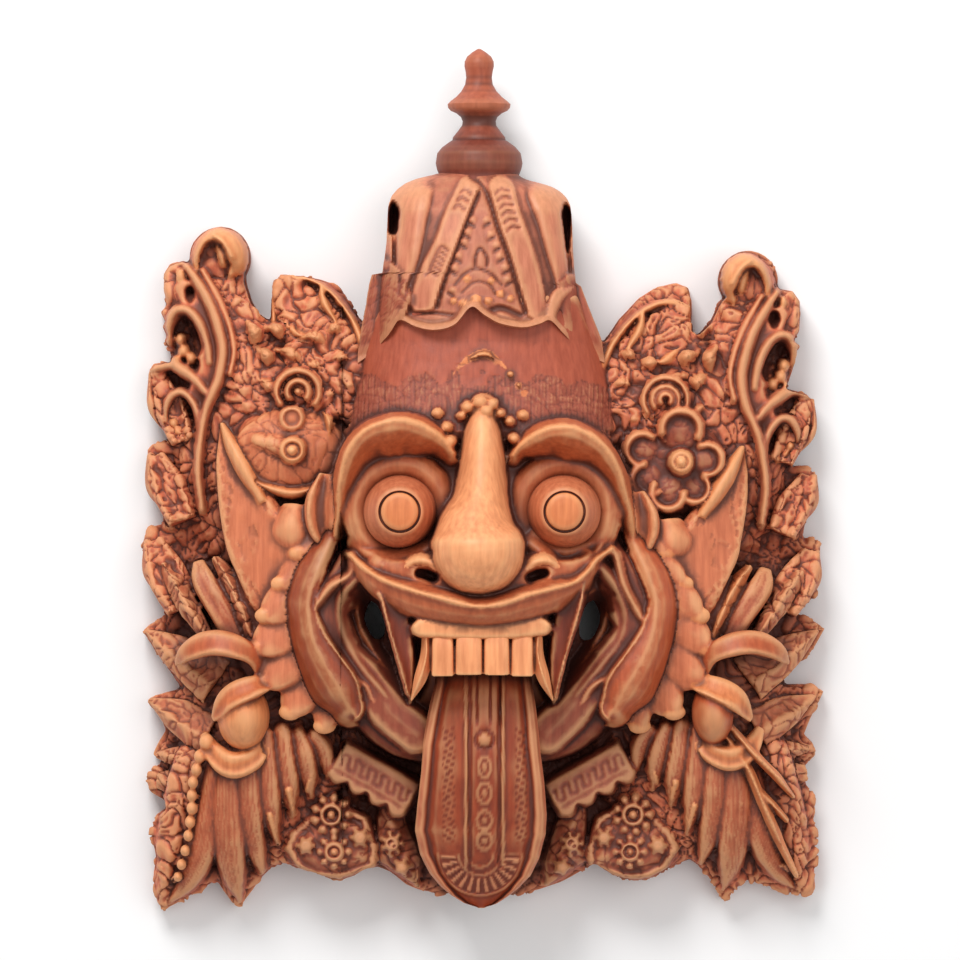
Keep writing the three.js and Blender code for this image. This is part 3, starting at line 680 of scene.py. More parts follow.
def carveUpperWing(relief, side):
    def go(stations, kind, fall, tone="ground", **finish):
        run = [(s[0], s[1], s[2], s[3], s[-1]) for s in stations]
        section = sectionOf(kind, fall) if isinstance(kind, str) else kind
        if side < 0:
            run = [(-x, y, z, r, l) for x, y, z, l, r in run]
            section = [(-u, h) for u, h in reversed(section)]
        else:
            run = [(x, wingHeight(y), z, l, r) for x, y, z, l, r in run]
        relief.sweep(run, section, tone, **finish)

    def spot(x, y, radii, top, **finish):
        relief.dome((side * x, wingHeight(y) if side > 0 else y), radii, top, **finish)

    def pit(x, y, radii, floor, **finish):
        pitCut(relief, (side * x, wingHeight(y) if side > 0 else y), radii, floor, **finish)

    # column under the scroll's head, and the leaf at its shoulder
    go([(131, 104, 32, 13), (127, 92, 35, 13), (121, 76, 38, 16), (113, 56, 42, 20), (106, 40, 44, 22)],
       "round", 9, crumb=0.75, strands=0.4)
    go([(97, 95, 31, 10), (88, 82, 38, 16), (80, 64, 45, 21), (76, 48, 48, 22)], "flat", 9, crumb=0.95)
    for x, y, turn in ((112, 88, 60), (116, 74, 75), (110, 62, 60), (104, 74, 40), (96, 62, 30),
                       (84, 70, 20), (74, 74, 10), (70, 60, 0), (84, 56, 15), (66, 46, -10), (76, 42, 10),
                       (108, 46, 50)):
        reach = 6 + 3 * math.sin(x)
        way = (math.cos(math.radians(turn)), math.sin(math.radians(turn)))
        bend = (-way[1] * 2.5, way[0] * 2.5)
        go([(x - way[0] * reach, y - way[1] * reach, 40, 1), (x + bend[0], y + bend[1], 50, 3.2),
            (x + way[0] * reach, y + way[1] * reach, 42, 0.8)], "ridge", 5, "ear", crumb=0.35, polish=0.5)
    go([(105.5, 99.5, 29, 1.7), (96, 103, 30, 1.9), (86, 101.5, 33, 1.9), (76, 95, 36, 1.9),
        (66, 83, 41, 1.9), (60, 70, 46, 1.9)], "round", 5, "gold", polish=0.6)
    go([(105, 92, 30, 1.8), (104.8, 80, 34, 1.8)], "round", 5, "gold", polish=0.6)
    go([(80.5, 97, 38, 1.3), (78.5, 89, 42, 2.2), (73, 80, 45, 1)], "ridge", 4, "gold", polish=0.6)
    go([(99, 80, 38, 1), (92, 74, 44, 2.4), (86, 72, 46, 1)], "ridge", 4, "gold", crumb=0.3)
    # lobe outside the scroll
    go([(152, 82, 25, 9), (153, 96, 28, 8), (154.5, 104, 25, 6)], "flat", 7, crumb=0.5)
    go([(160, 92, 24, 1.6), (160, 102, 25, 1.8), (155, 108.5, 25, 1.8), (148, 110, 27, 1.6)], "round", 4,
       "edge")
    # a small gold dome on the lobe: a painted highlight
    spot(151, 103, (2.4, 4, 4), 32, tone="gold", polish=0.5)
    # smooth valleys beside the long ridge
    go([(149, 97, 32, 5), (143, 86, 35, 7), (138, 72, 37, 7), (136, 58, 38, 6), (141, 47, 36, 6),
        (146, 34, 32, 6)], "flat", 5, polish=0.5)
    pit(146.5, 94, (2.6, 4.5), (20, 30))
    # shelf between the pits and the leaf below it
    go([(164, 51, 22, 7), (161, 40, 23, 8), (157, 27, 23, 8)], "flat", 6, crumb=0.45)
    go([(166, 57, 24, 3.4), (156, 59.5, 31, 3.6), (150.3, 56.4, 35, 3.6), (143.6, 51.4, 39, 3.4),
        (137.8, 44.8, 42, 3)], "round", 8, "edge", polish=0.5)
    # pits with curled lumps inside
    pit(147.8, 71, (8.2, 13.5), (11, 27))
    pit(149.8, 33, (7.4, 10.5), (11, 26))
    for x, y, size in ((151.5, 71.5, 3), (149.8, 65.8, 3.3), (146, 62, 3.2), (153, 61, 2.6),
                       (154.6, 29.5, 2.8), (152.8, 25.4, 2.8), (148.5, 23, 2.6)):
        spot(x, y, (size, size * 1.2, 8), 30, tone="gold", polish=0.45)
    # arches over the pits, and the long ridge that runs down beside them
    go([(157, 70, 29, 2.2), (156.5, 80, 33, 2.5), (153, 86, 36, 2.7), (147, 85.8, 38, 2.9),
        (141.5, 79.6, 40, 3), (137.8, 70.3, 41, 3), (136.3, 60, 41, 2.6)], "round", 8, "edge", polish=0.5)
    go([(158.8, 27, 28, 2), (158.4, 37, 31, 2.3), (155, 43.5, 34, 2.6), (150, 44.8, 36, 2.7),
        (145, 40.4, 38, 2.8), (141.8, 32.5, 39, 2.7), (140.5, 22, 40, 2.2)], "round", 8, "edge", polish=0.5)
    go([(147.8, 108, 33, 2.5), (142.8, 101, 38, 3), (136.2, 89.6, 42, 3.4), (132, 78, 44, 3.6),
        (129.5, 65.5, 45, 3.6), (131.2, 53, 45, 3.3), (134.5, 44.8, 45, 3.2), (137.8, 36.5, 44, 3),
        (140.3, 24, 43, 2.8), (142, 6, 42, 2.6), (140, -14, 40, 2.2)], "round", 7, "edge", polish=0.5)
    go([(140, 106, 36, 1.6), (133, 94, 40, 2), (127, 80, 42, 2), (124, 66, 44, 1.8), (126, 54, 45, 1.6)],
       "round", 4, "ground", polish=0.4)
    # scroll's head: a smooth hood curled over a carved recess
    spot(132, 112, (15, 15, 10), 34, tone="ground", crumb=0.35)
    hood = [(-1, -15), (-0.7, -6), (-0.2, -1.4), (0.3, 0), (0.75, 0.4), (0.92, -0.6), (1, -7)]
    go([(144, 106, 33, 2.2), (143, 114.5, 38, 2.4), (139, 121.5, 42, 3), (132.5, 124, 45, 4),
        (126, 121, 46, 5), (122.5, 115, 46, 5.8), (121.5, 108.5, 43, 5), (124, 104.5, 37, 3.4)], hood, 0,
       "gold", polish=0.75)
    go([(134.5, 123.5, 46.2, 1), (129.5, 119.5, 48, 1.5), (124.8, 112, 48, 1.2)], "round", 2, "gold",
       polish=0.8)
    go([(133, 119, 38, 1.4), (130.5, 114, 41, 2.6), (129.5, 109.5, 40, 2.2)], "round", 6, "gold", polish=0.5)


def carveFan(relief, side):
    def go(stations, section, tone, **finish):
        run = [(s[0], s[1], s[2], s[3], s[-1]) for s in stations]
        if side < 0:
            run = [(-x, y, z, r, l) for x, y, z, l, r in run]
            section = [(-u, h) for u, h in reversed(section)]
        else:
            run = [(x, wingHeight(y), z, l, r) for x, y, z, l, r in run]
        relief.sweep(run, section, tone, **finish)

    feather = [(-1, -9), (-0.92, -2), (-0.65, -0.2), (-0.3, 0), (0.2, -0.7), (0.6, -2.2), (0.9, -4.6),
               (1, -9)]
    crumbly = [(-1, -6), (-0.6, -2), (0, 0), (0.7, -3), (1, -8)]
    go([(146, -140, 38, 9), (150, -160, 36, 10), (155, -182, 30, 9), (159, -198, 24, 6), (162, -211, 17, 2)],
       crumbly, "ground", crumb=0.8)
    fan = [
        [(84, -127, 49, 5), (80, -133, 48, 6), (78, -141, 44, 5), (77.5, -148, 40, 1)],
        [(92, -126, 50, 5), (89, -136, 50, 6.5), (87, -147, 46, 6), (85.5, -158, 40, 1)],
        [(100, -125, 51, 6), (98.5, -140, 51, 7), (97, -153, 47, 7), (94.5, -167, 40, 1)],
        [(109, -126, 52, 6), (108, -145, 51, 8), (107, -162, 47, 8), (102.5, -181, 38, 1)],
        [(118, -128, 52, 6), (117.5, -150, 51, 8.5), (116.5, -170, 46, 9), (113, -186, 38, 6),
         (109, -199.5, 29, 0.8)],
        [(127, -136, 50, 6), (127.5, -160, 48, 9.5), (126.5, -180, 43, 10), (124.5, -198, 33, 7.5),
         (121.5, -212.5, 20, 0.8)],
        [(134, -142, 46, 5), (137, -164, 43, 8), (141, -184, 38, 9.5), (148, -200, 28, 7),
         (158, -211.5, 16, 2)],
    ]
    for run in fan:
        go([(x, y, z, reach * 0.84) for x, y, z, reach in run], feather, "feather", polish=0.7, strands=0.5)
    for run in ([(86, -149, 47, 1.4), (88, -155, 44, 0.6)], [(96.5, -154, 50, 2), (94.5, -164, 44, 0.7)],
                [(106, -166, 48, 2), (103.5, -178, 42, 0.7)]):
        go(run, [(-1, -4), (0, 0), (1, -4)], "gold", polish=0.6)


def carveShields(relief, side):
    def way(points):
        return [(side * x, y) for x, y in points]

    panel = way([(99, -184), (96, -176), (77, -157), (57, -168), (52, -184), (53, -194), (62, -197),
                 (72, -200), (84, -199), (93, -194)])
    inside, gap = relief.within(panel)
    level = 30 + 6 * smoothStep(0, 10, gap) + 3.2 * (1 - smoothStep(0.8, 2.2, np.abs(gap - 2)))
    change = inside & (level > relief.z)
    relief.z[change] = level[change]
    relief.paint(change, "shield", (0.45, 0.25, 0))
    plain = way([(52, -160), (38, -168), (30, -190), (32, -204), (46, -195), (53, -190)])
    inside, gap = relief.within(plain)
    level = 28 + 6 * smoothStep(0, 8, gap)
    change = inside & (level > relief.z)
    relief.z[change] = level[change]
    relief.paint(change, "shield", (0.4, 0.4, 0))
    # rosettes: rings of small beads round a button
    for x, y, size, count in ((75.5, -166.5, 7.4, 9), (74, -185, 6.2, 8), (88, -182, 3.4, 6),
                              (61, -178, 3.6, 6), (45, -181, 4.4, 7), (40, -193, 3.2, 5)):
        centre = (side * x, y)
        ring = [(centre[0] + size * 0.62 * math.cos(a), centre[1] + size * 0.62 * math.sin(a), 41, 1.3, 1.3)
                for a in np.linspace(0, 2 * math.pi, 13)]
        relief.sweep(ring, sectionOf("round", 3), "shield", polish=0.5)
        relief.dome(centre, (size * 0.3, size * 0.3, 4), 42, tone="edge", polish=0.6)
        for a in np.linspace(0, 2 * math.pi, count, endpoint=False):
            relief.dome((centre[0] + size * 1.12 * math.cos(a), centre[1] + size * 1.12 * math.sin(a)),
                        (size * 0.3, size * 0.3, 4), 39.5, tone="shield", polish=0.5)


ribbon = {"start": (73.5, -137.5), "end": (34, -160), "reach": 10.5, "level": 44, "scallops": 4, "dip": 3.6,
          "strokes": 11}


def carveRibbon(relief, side):
    start, end = np.array(ribbon["start"], float), np.array(ribbon["end"], float)
    run = end - start
    length = np.linalg.norm(run)
    run /= length
    down = np.array([run[1], -run[0]])
    if down[1] > 0:
        down = -down
    offset = np.column_stack([side * relief.x, relief.y]) - start
    along, across = offset @ run, offset @ down
    share = np.clip(along / length, 0, 1)
    wave = ribbon["dip"] * np.abs(np.sin(share * math.pi * ribbon["scallops"]))
    lower = ribbon["reach"] - 2 + wave
    gap = np.minimum(np.minimum(along, length - along), np.minimum(across + ribbon["reach"], lower - across))
    inside = gap > 0
    level = ribbon["level"] - 9 * (1 - smoothStep(0, 1.4, gap)) - 0.06 * (across - 2) ** 2 * 0.2
    for k in range(ribbon["strokes"]):
        place = 4 + (length - 8) * k / (ribbon["strokes"] - 1)
        slant = (along - place) - 0.25 * across
        stroke = (1 - smoothStep(0.35, 0.9, np.abs(slant))) * (1 - smoothStep(2.8, 3.4, np.abs(across + 1)))
        hook = (1 - smoothStep(0.3, 0.8, np.abs(across + 1 - (3 if k % 2 else -3)))) * \
            (1 - smoothStep(1.3, 1.8, np.abs(slant - 1.2)))
        level -= 0.9 * np.maximum(stroke, hook)
    line = 1 - smoothStep(0.3, 0.8, np.abs(across - ribbon["reach"] + 5.2))
    level -= 0.5 * line
    change = inside & (level > relief.z)
    relief.z[change] = level[change]
    relief.paint(change, "ribbon", (0.5, 0.02, 0))


def carveFace(relief):
    x, y = relief.x, relief.y
    inFace = ovalHeight(x, y, face["radii"]) - 1
    relief.paint(inFace > relief.z, "face", (0.55, 0, 0))
    relief.z = np.maximum(relief.z, inFace)
    # forehead and the smooth band of the hat above it
    level = np.interp(y, [10, 25, 35, 50, 70, 92], [70, 82, 79, 73, 68, 66])
    brow = level * np.sqrt(np.clip(1 - 0.8 * (np.abs(x) / np.interp(y, [20, 60, 92], [74, 66, 60])) ** 3, 0,
                                   1))
    brow *= smoothStep(6, 22, y) * (np.abs(x) < 72)
    relief.z = np.maximum(relief.z, brow)
    middle = (y > 25) & (brow >= relief.z) & (np.abs(x) < np.interp(y, [25, 60, 92], [66, 62, 58]))
    rough = y < 51 + 5 * latticeNoise(np.column_stack([x, y, 0 * x]), 7, 5)
    relief.paint(middle & rough, "forehead", (0.4, 0.12, 0.7), x[middle & rough])
    relief.paint(middle & ~rough, "hat", (0.6, 0.03, 0))
    # muzzle between the nose and the lip's crest
    relief.sweep([(-50, -42, 91, 8, 8), (-32, -46, 99, 11, 11), (0, -49, 108, 12, 12), (32, -46, 99, 11, 11),
                  (50, -40, 91, 8, 8)], roundCut, "face", polish=0.6)
    for side in (-1, 1):
        eye = (40.8 * side, -14.5)
        # socket: a bowl round the ball
        away = np.hypot(x - eye[0], y - eye[1])
        bowl = (away < 24)
        relief.z = np.where(bowl, np.minimum(relief.z, 79 + 0.012 * away**2), relief.z)
    # visors of the brows, from the outside to the root of the nose
    left = [(-72.5, -26, 70, 2, 6), (-71, -14, 80, 3, 9), (-70.5, -1.3, 89, 4, 11), (-66.3, 14.5, 97, 4, 14),
            (-58.4, 25, 102, 4, 16), (-47.3, 29.7, 104, 4, 17), (-36.8, 30.2, 103, 4, 17),
            (-26.3, 26, 100, 4, 15), (-19, 20.7, 96, 3, 11), (-14, 14, 92, 2, 7)]
    right = [(15, 13, 92, 2, 6), (18.4, 17.6, 95, 3, 9), (25.3, 22.8, 99, 4, 13), (33.7, 26.5, 102, 4, 15),
             (43.2, 27, 104, 4, 16), (52.6, 23.4, 102, 4, 16), (61, 16.5, 98, 4, 14), (67.4, 6, 92, 4, 12),
             (70.5, -4.5, 86, 4, 10), (73.7, -17, 77, 3, 8), (75, -28, 68, 2, 5)]
    relief.sweep(left, crestCut, "brow", polish=0.7)
    relief.sweep(right, crestCut, "brow", polish=0.7)
    thin = [(-1, -4), (-0.4, 0), (0.4, 0), (1, -4)]
    # a thin gold strip along each brow's crest: a painted highlight
    relief.sweep([(s[0], s[1], s[2] + 1.1, 1.6, 1.6) for s in left], thin, "gold", polish=0.7)
    relief.sweep([(s[0], s[1], s[2] + 1.1, 1.6, 1.6) for s in right], thin, "gold", polish=0.7)
    # lids: a smooth ring round each ball
    for side in (-1, 1):
        ring = [(40.8 * side + 22 * math.cos(a), -14 + 23 * math.sin(a), 83.5 + 2 * math.sin(a), 7, 7)
                for a in np.linspace(0, 2 * math.pi, 17)]
        relief.sweep(ring, [(-1, -5), (-0.5, -1.2), (0, 0), (0.5, -1.2), (1, -5)], "face", polish=0.6)
    # bags under the eyes, with a sharp fold above the lip's crest
    relief.sweep([(-64, -30, 78, 4, 4), (-55, -36, 85, 5, 5), (-44, -38.5, 89, 5, 5), (-33, -36, 91, 5, 5),
                  (-24, -31, 90, 4, 5)], foldCut, "face", polish=0.6)
    relief.sweep([(24, -30.8, 90, 5, 5), (31, -36, 92, 5, 5), (37.9, -41.3, 92, 4, 4),
                  (45.3, -43.4, 92, 4, 4), (53.7, -38.2, 88, 4, 4), (62, -26.6, 80, 3, 3)], foldCut, "lip",
                 polish=0.6)
    relief.sweep([(26, -27, 86, 5, 5), (40, -34.5, 87, 5, 5), (55, -30, 82, 4, 4)], foldCut, "face",
                 polish=0.55)
    # cheeks: broad smooth swellings whose inner edge is the mouth's rim
    cheek = [(-72, -18, 66, 6, 4), (-76, -32, 70, 12, 4), (-82, -46, 74, 15, 4), (-86, -60, 76, 15, 4),
             (-84, -76, 78, 14, 7), (-78, -90, 80, 15, 10), (-71, -102, 80, 16, 11), (-66, -112, 76, 11, 8)]
    swell = [(-1, -26), (-0.85, -16), (-0.6, -7), (-0.3, -1.8), (0, 0), (0.5, -1.2), (0.74, -2), (0.87, 0.8),
             (0.94, 0.4), (1, -12)]
    swellLeft = [(-s, h) for s, h in reversed(swell)]
    relief.sweep(mirrored([(a, b, c, e, d) for a, b, c, d, e in cheek], -1), swell, "cheek", polish=0.85)
    relief.sweep([(-a, b, c, d, e) for a, b, c, d, e in cheek], swellLeft, "petal", polish=0.85)
    # rim of the mouth's corner and the two folds of the lower lip
    rim = {
        -1: [(-64, -37, 84, 3, 3), (-65.2, -45.5, 82, 3, 3), (-74.7, -51.9, 79, 3, 3), (-81, -60, 76, 3, 4),
             (-86, -69, 73, 3, 4), (-84, -78, 72, 3, 4), (-81, -83.4, 72, 3, 4), (-70.5, -91.8, 73, 3, 4),
             (-58.4, -100.3, 73, 3, 4), (-54, -108, 71, 3, 4), (-46.3, -119, 66, 3, 4),
             (-34, -128, 60, 3, 4)],
        1: [(63, -34, 84, 3, 3), (66.3, -37, 82, 3, 3), (70.5, -51.9, 79, 3, 3), (80, -69.7, 74, 4, 3),
            (81, -75, 73, 4, 3), (74.7, -84.5, 73, 4, 3), (66.3, -94, 74, 4, 3), (54.7, -101.3, 74, 4, 3),
            (49, -110, 71, 4, 3), (40, -121, 65, 4, 3), (32, -128, 60, 4, 3)],
    }
    inner = {
        -1: [(-60, -46, 84, 3, 4), (-67.4, -54, 78, 4, 5), (-71, -64, 72, 5, 5), (-69, -76, 71, 6, 6),
             (-61.5, -89.5, 72, 5, 6), (-51, -102, 72, 4, 6), (-42.5, -112.5, 69, 4, 5),
             (-31, -122, 62, 4, 4)],
        1: [(58, -42, 84, 4, 3), (66, -52, 78, 5, 4), (71, -65, 72, 5, 5), (69, -78, 71, 6, 6),
            (60, -90, 72, 6, 5), (50, -102, 72, 6, 4), (42, -112, 69, 5, 4), (32, -122, 62, 4, 4)],
    }
    for side in (-1, 1):
        folds = [curveThrough(run[side], np.linspace(0, 1, 9)) for run in (rim, inner)]
        band = [((a[0] + b[0]) / 2, (a[1] + b[1]) / 2, 71, 11, 11) for a, b in zip(*folds)]
        relief.sweep(band, [(-1, -8), (-0.8, -1.5), (0, 0), (0.8, -1.5), (1, -8)], "lowerLip", polish=0.5)
        relief.sweep(inner[side], foldCut, "lowerLip", polish=0.5)
        relief.sweep(rim[side], [(-1, -7), (-0.5, -2.5), (-0.12, 0), (0.12, 0), (0.5, -2.5), (1, -7)],
                     "edge", polish=0.6)
    # hollow of each corner of the mouth, falling to a black pit beside the teeth
    corner = [(-58, -47), (-66, -55), (-68.5, -63.5), (-66.5, -75), (-59, -88), (-49, -101), (-39, -113),
              (-26, -118), (-22, -100), (-27, -76), (-34, -66), (-46, -57)]
    for side in (-1, 1):
        inside, gap = relief.within([(-side * a, b) for a, b in corner])
        depth = 74 - 34 * smoothStep(0, 15, gap) ** 0.8
        change = inside & (depth < relief.z)
        relief.z[change] = depth[change]
        relief.paint(change, "mouth", (0.45, 0, 0))
    # chin under the tongue, dark
    relief.sweep([(-62, -112, 52, 8, 8), (-40, -130, 48, 8, 8), (0, -134, 48, 8, 8), (40, -130, 48, 8, 8),
                  (62, -112, 52, 8, 8)], roundCut, "lowerLip", polish=0.3)
    # flaps beside the teeth, down to the tips of the fangs
    for side in (-1, 1):
        flap = [(-47, -50, 96, 4, 8), (-44.5, -60, 97, 6, 8), (-40.5, -76, 96, 5.5, 7),
                (-37, -92, 94, 3.5, 4.5), (-35.5, -104, 92, 1.6, 2), (-35.5, -109, 90, 0.5, 0.5)]
        cut = [(-1, -30), (-0.96, 0.5), (-0.7, 0.8), (-0.45, -1.5), (0.2, -3.5), (0.9, -4), (1, -30)]
        if side < 0:
            relief.sweep([(a, b, c, e, d) for a, b, c, d, e in flap], cut, "flap", polish=0.6)
            outerEdge = [(-51, -55, 98, 1.2, 1.2), (-49, -60, 98.5, 1.2, 1.2), (-44.5, -79, 97, 1.2, 1.2),
                         (-37.2, -105, 93.5, 0.8, 0.8)]
        else:
            relief.sweep([(-a, b, c, d, e) for a, b, c, d, e in flap], [(-u, h) for u, h in reversed(cut)],
                         "flap", polish=0.6)
            outerEdge = [(50, -54, 98, 1.2, 1.2), (48, -62, 98.5, 1.2, 1.2), (43, -80, 97, 1.2, 1.2),
                         (36.5, -107, 93.5, 0.8, 0.8)]
        relief.sweep(outerEdge, [(-1, -3), (-0.4, 0), (0.4, 0), (1, -3)], "edge", polish=0.6)
    # upper lip: a crest with a painted highlight along it, and under it a smooth band that falls back to the
    # gum
    crest = [(-65.2, -36, 84, 2, 3), (-56.8, -43.4, 93, 3, 7), (-46.3, -49.2, 101, 4, 11),
             (-31.6, -54, 109, 5, 13.5), (-17.9, -57.6, 114, 5, 12.5), (-7.3, -60.3, 116, 5, 10.5),
             (1, -61, 117, 5, 10), (11.6, -59.2, 116, 5, 11), (22.1, -55.5, 113, 5, 13),
             (34.7, -52.4, 108, 5, 12), (45.3, -49.5, 101, 4, 8), (52, -44, 96, 3, 5),
             (56.8, -38.2, 91, 3, 3), (64.2, -32.9, 84, 2, 2)]
    lipCut = [(-1, -20), (-0.97, -11), (-0.8, -6.5), (-0.5, -3), (-0.2, -1.6), (-0.08, 0), (0.1, 0.2),
              (0.4, -2), (0.8, -7), (1, -13)]
    relief.sweep(crest, lipCut, "lip", polish=0.65)
    # a thin gold strip along the crest: a painted highlight
    relief.sweep([(a, b, c + 0.9, 1.7, 1.7) for a, b, c, d, e in crest], thin, "gold", polish=0.7)
    # gum over the teeth
    gum = [(-30, -72, 103, 5, 5.2), (-15, -73, 105, 5, 5), (0, -73.5, 105.5, 5, 5), (15, -73, 105, 5, 5),
           (29.5, -71.5, 103, 5, 5)]
    gumCut = [(-1, -9), (-0.9, -1.2), (-0.5, 0), (0.5, 0.6), (0.9, 0.2), (1, -9)]
    relief.sweep(gum, gumCut, "tooth", polish=0.6)
    # nose with its two wings
    for side in (-1, 1):
        wing = [(-38, -46, 94, 2, 2), (-36.8, -41.5, 97, 3, 2.5), (-31.5, -38.6, 100.5, 3.5, 3.5),
                (-26, -39.5, 102, 3.5, 3.5), (-22, -43, 102, 3, 3)]
        relief.sweep([(-side * a, b, c, d, e) for a, b, c, d, e in wing], roundCut, "nose", polish=0.65)
        nostril = [(-30.5, -45, 88, 2.4, 2.4), (-27, -45.8, 84, 2.6, 2.6), (-24, -47, 84, 2.4, 2.4)]
        hole = [(-side * a, b, c, d, e) for a, b, c, d, e in nostril]
        relief.sweep(hole, [(-1, 12), (-0.8, 2), (0, 0), (0.8, 2), (1, 12)], "mouth", cutting=True)
    noseRun = [(0.5, 37, 93, 7.5, 7.5), (0.3, 27, 99, 9.4, 9.4), (0.3, 14.4, 104, 11.2, 11.2),
               (0, 0.8, 109, 12.6, 12.6), (-0.8, -9.8, 115, 14.4, 14.4), (-2.2, -20.5, 123, 19.2, 19.2),
               (-2.2, -28, 130, 22.3, 22.3), (-1.8, -33, 131.5, 22.6, 22.6)]
    noseCut = [(-1, -26), (-0.94, -17), (-0.82, -10.5), (-0.62, -5), (-0.4, -1.9), (-0.2, -0.4), (0, 0),
               (0.2, -0.4), (0.4, -1.9), (0.62, -5), (0.82, -10.5), (0.94, -17), (1, -26)]
    relief.sweep(noseRun, noseCut, "nose", polish=0.8)
    for a, b, size, top in ((-7, 37, 3.5, 93), (-1, 39.5, 4, 95), (5, 38.5, 3.4, 94), (9, 34, 2.8, 92),
                            (-10, 33, 2.6, 91), (2, 35, 3.5, 97), (-16, 20, 3.6, 95), (-17.5, 27, 3, 88),
                            (13.6, 30, 3, 90), (15.6, 21.5, 3.2, 95), (20, 33, 3.2, 84), (-22, 34, 3, 84)):
        relief.dome((a, b), (size, size * 0.9, 6), top, tone="gold", polish=0.5)
    relief.soften(2)


def carveFlowers(relief):
    def ringAt(x, y, reach, level, width, tone="edge"):
        ring = [(a, b, c, width, width) for a, b, c in arcPoints((x, y), reach, reach, 0, 360, level, 17)]
        relief.sweep(ring, sectionOf("round", 4), tone, polish=0.55)

    def petal(x, y, reach, level, heart):
        # a shallow dish with a bright rim on the side away from the flower's heart
        relief.dome((x, y), (reach * 1.05, reach * 1.05, 6), level - 3.5, tone="lowerLip", polish=0.5,
                    crumb=0.15)
        turn = math.degrees(math.atan2(y - heart[1], x - heart[0]))
        rim = arcPoints((x, y), reach * 0.82, reach * 0.82, turn - 105, turn + 105, level + 1.6, 11)
        rim = [(a, b, c - 2.4 * abs(i - 5) / 5, reach * 0.2, reach * 0.26) for i, (a, b, c) in enumerate(rim)]
        relief.sweep(rim, sectionOf("round", 5), "ear", polish=0.6)

    def swirlAt(x, y, reach, level, width):
        arc = arcPoints((x, y), reach, reach, -35, 215, level, 13)
        relief.sweep([(a, b, c, width, width) for a, b, c in arc], sectionOf("round", 4), "ear", polish=0.5)

    # left: a petal like a bowl with a sharp lower rim, a tube that ends in a button, and a ring over it
    relief.dome((-96, 15), (29, 22, 12), 57, tone="ear", polish=0.5, crumb=0.2)
    relief.sweep([(-127, 24, 47, 1, 1), (-122, 10, 54, 1.6, 2.4), (-112, 0, 57, 1.8, 3),
                  (-100, -4.5, 59, 2, 3.4), (-91, -5, 60, 2, 3.4), (-80, -1, 58, 1.8, 3),
                  (-72, 6, 53, 1, 1.5)], [(-1, -9), (-0.3, -1), (0, 0), (1, -4)], "gold", polish=0.6)
    relief.sweep([(-111, 20.5, 58, 5.5, 5.5), (-103, 18.6, 61, 6, 6), (-94.3, 15.8, 63, 6, 6)],
                 sectionOf("round", 8), "ear", polish=0.5, crumb=0.15)
    ringAt(-94.3, 15.8, 5, 64.5, 1.7, "gold")
    # pale dot at the button's middle: a painted highlight
    relief.dome((-94.3, 15.8), (2.4, 2.4, 3), 66, tone="tooth", polish=0.9)
    relief.dome((-94.7, 31.8), (6.5, 6.5, 6), 56, tone="ear", polish=0.5)
    ringAt(-94.7, 31.8, 5, 57.5, 1.7, "ear")
    relief.sweep([(-79, 35, 50, 1, 1), (-76, 30, 56, 2, 3), (-76.5, 22, 52, 1, 1)], sectionOf("ridge", 6),
                 "gold")
    for reach, level in ((10.6, 54), (5.4, 54)):
        swirlAt(-91.8, 45, reach, level, 1.9)
    relief.dome((-91.8, 45), (2, 2, 3), 53, tone="ear", polish=0.5)
    # right: round rimmed petals about a button, and a swirl over them
    relief.dome((97, 8), (25, 24, 12), 53, tone="lowerLip", polish=0.45, crumb=0.2)
    for x, y, reach, level in ((80, 16, 8.5, 57), (82.5, 1, 8.5, 58), (92.5, -5.5, 8.5, 59),
                               (106, -3, 7.5, 57), (112, 11, 8, 58), (99, 26, 10, 59)):
        petal(x, y, reach * 1.12, level, (97, 9))
    ringAt(99, 10, 4.4, 64, 1.8, "gold")
    relief.dome((99, 10), (7, 7, 6), 60, tone="lowerLip", crumb=0.1)
    # pale dot at the button's middle: a painted highlight
    relief.dome((99, 10), (2.6, 2.6, 3), 66, tone="tooth", polish=0.9)
    for reach, level in ((11, 53), (6.6, 54), (2.8, 55)):
        swirlAt(91.5, 41, reach, level, 1.9)


def carveGround(relief):
    inside, gap = relief.within(outline)
    relief.z = np.full(len(relief.x), 15.0)
    away = np.abs(relief.x)
    for centre, radii in (((100, 20), (58, 84, 44)), ((104, -118), (56, 84, 40)), ((86, -72), (30, 58, 52))):
        share = ((away - centre[0]) / radii[0]) ** 2 + ((relief.y - centre[1]) / radii[1]) ** 2
        relief.z = np.maximum(relief.z, radii[2] * np.sqrt(np.clip(1 - share, 0, 1)))
    relief.paint(relief.z > 0, "ground", (0.25, 0.8, 0.1))
    return inside, gap


faceRelief = Relief((-176, -218), (176, 132), 0.75)
onBoard, fromEdge = carveGround(faceRelief)
for side in (-1, 1):
    carveUpperWing(faceRelief, side)
    carveFan(faceRelief, side)
    carveShields(faceRelief, side)
    carveRibbon(faceRelief, side)
carveFlowers(faceRelief)
carveFace(faceRelief)
faceRelief.z -= 3 * (1 - smoothStep(0, 2.6, fromEdge))


def faceKept(relief):
    # the relief covers the whole front and leaves the two pits of the mouth open
    kept = onBoard & (fromEdge > 0.4)
    for side in (-1, 1):
        pit = ((relief.x - (54 + (relief.y + 68) * 0.2) * side) / 4.6) ** 2 + ((relief.y + 69) / 9.5) ** 2
        kept &= pit > 1
    return kept


def faceUnder(x, y):
    return np.maximum(ovalHeight(x, y, [r + 7 for r in hollowRadii]), 8)


wood.shapes.append(faceRelief.slab("faceSlab", faceKept(faceRelief), faceUnder))

for side in (-1, 1):
    wood.ball((86 * side, -72, 20), (30, 58, 34), tone="ground", crumb=0.4)

print("wings")


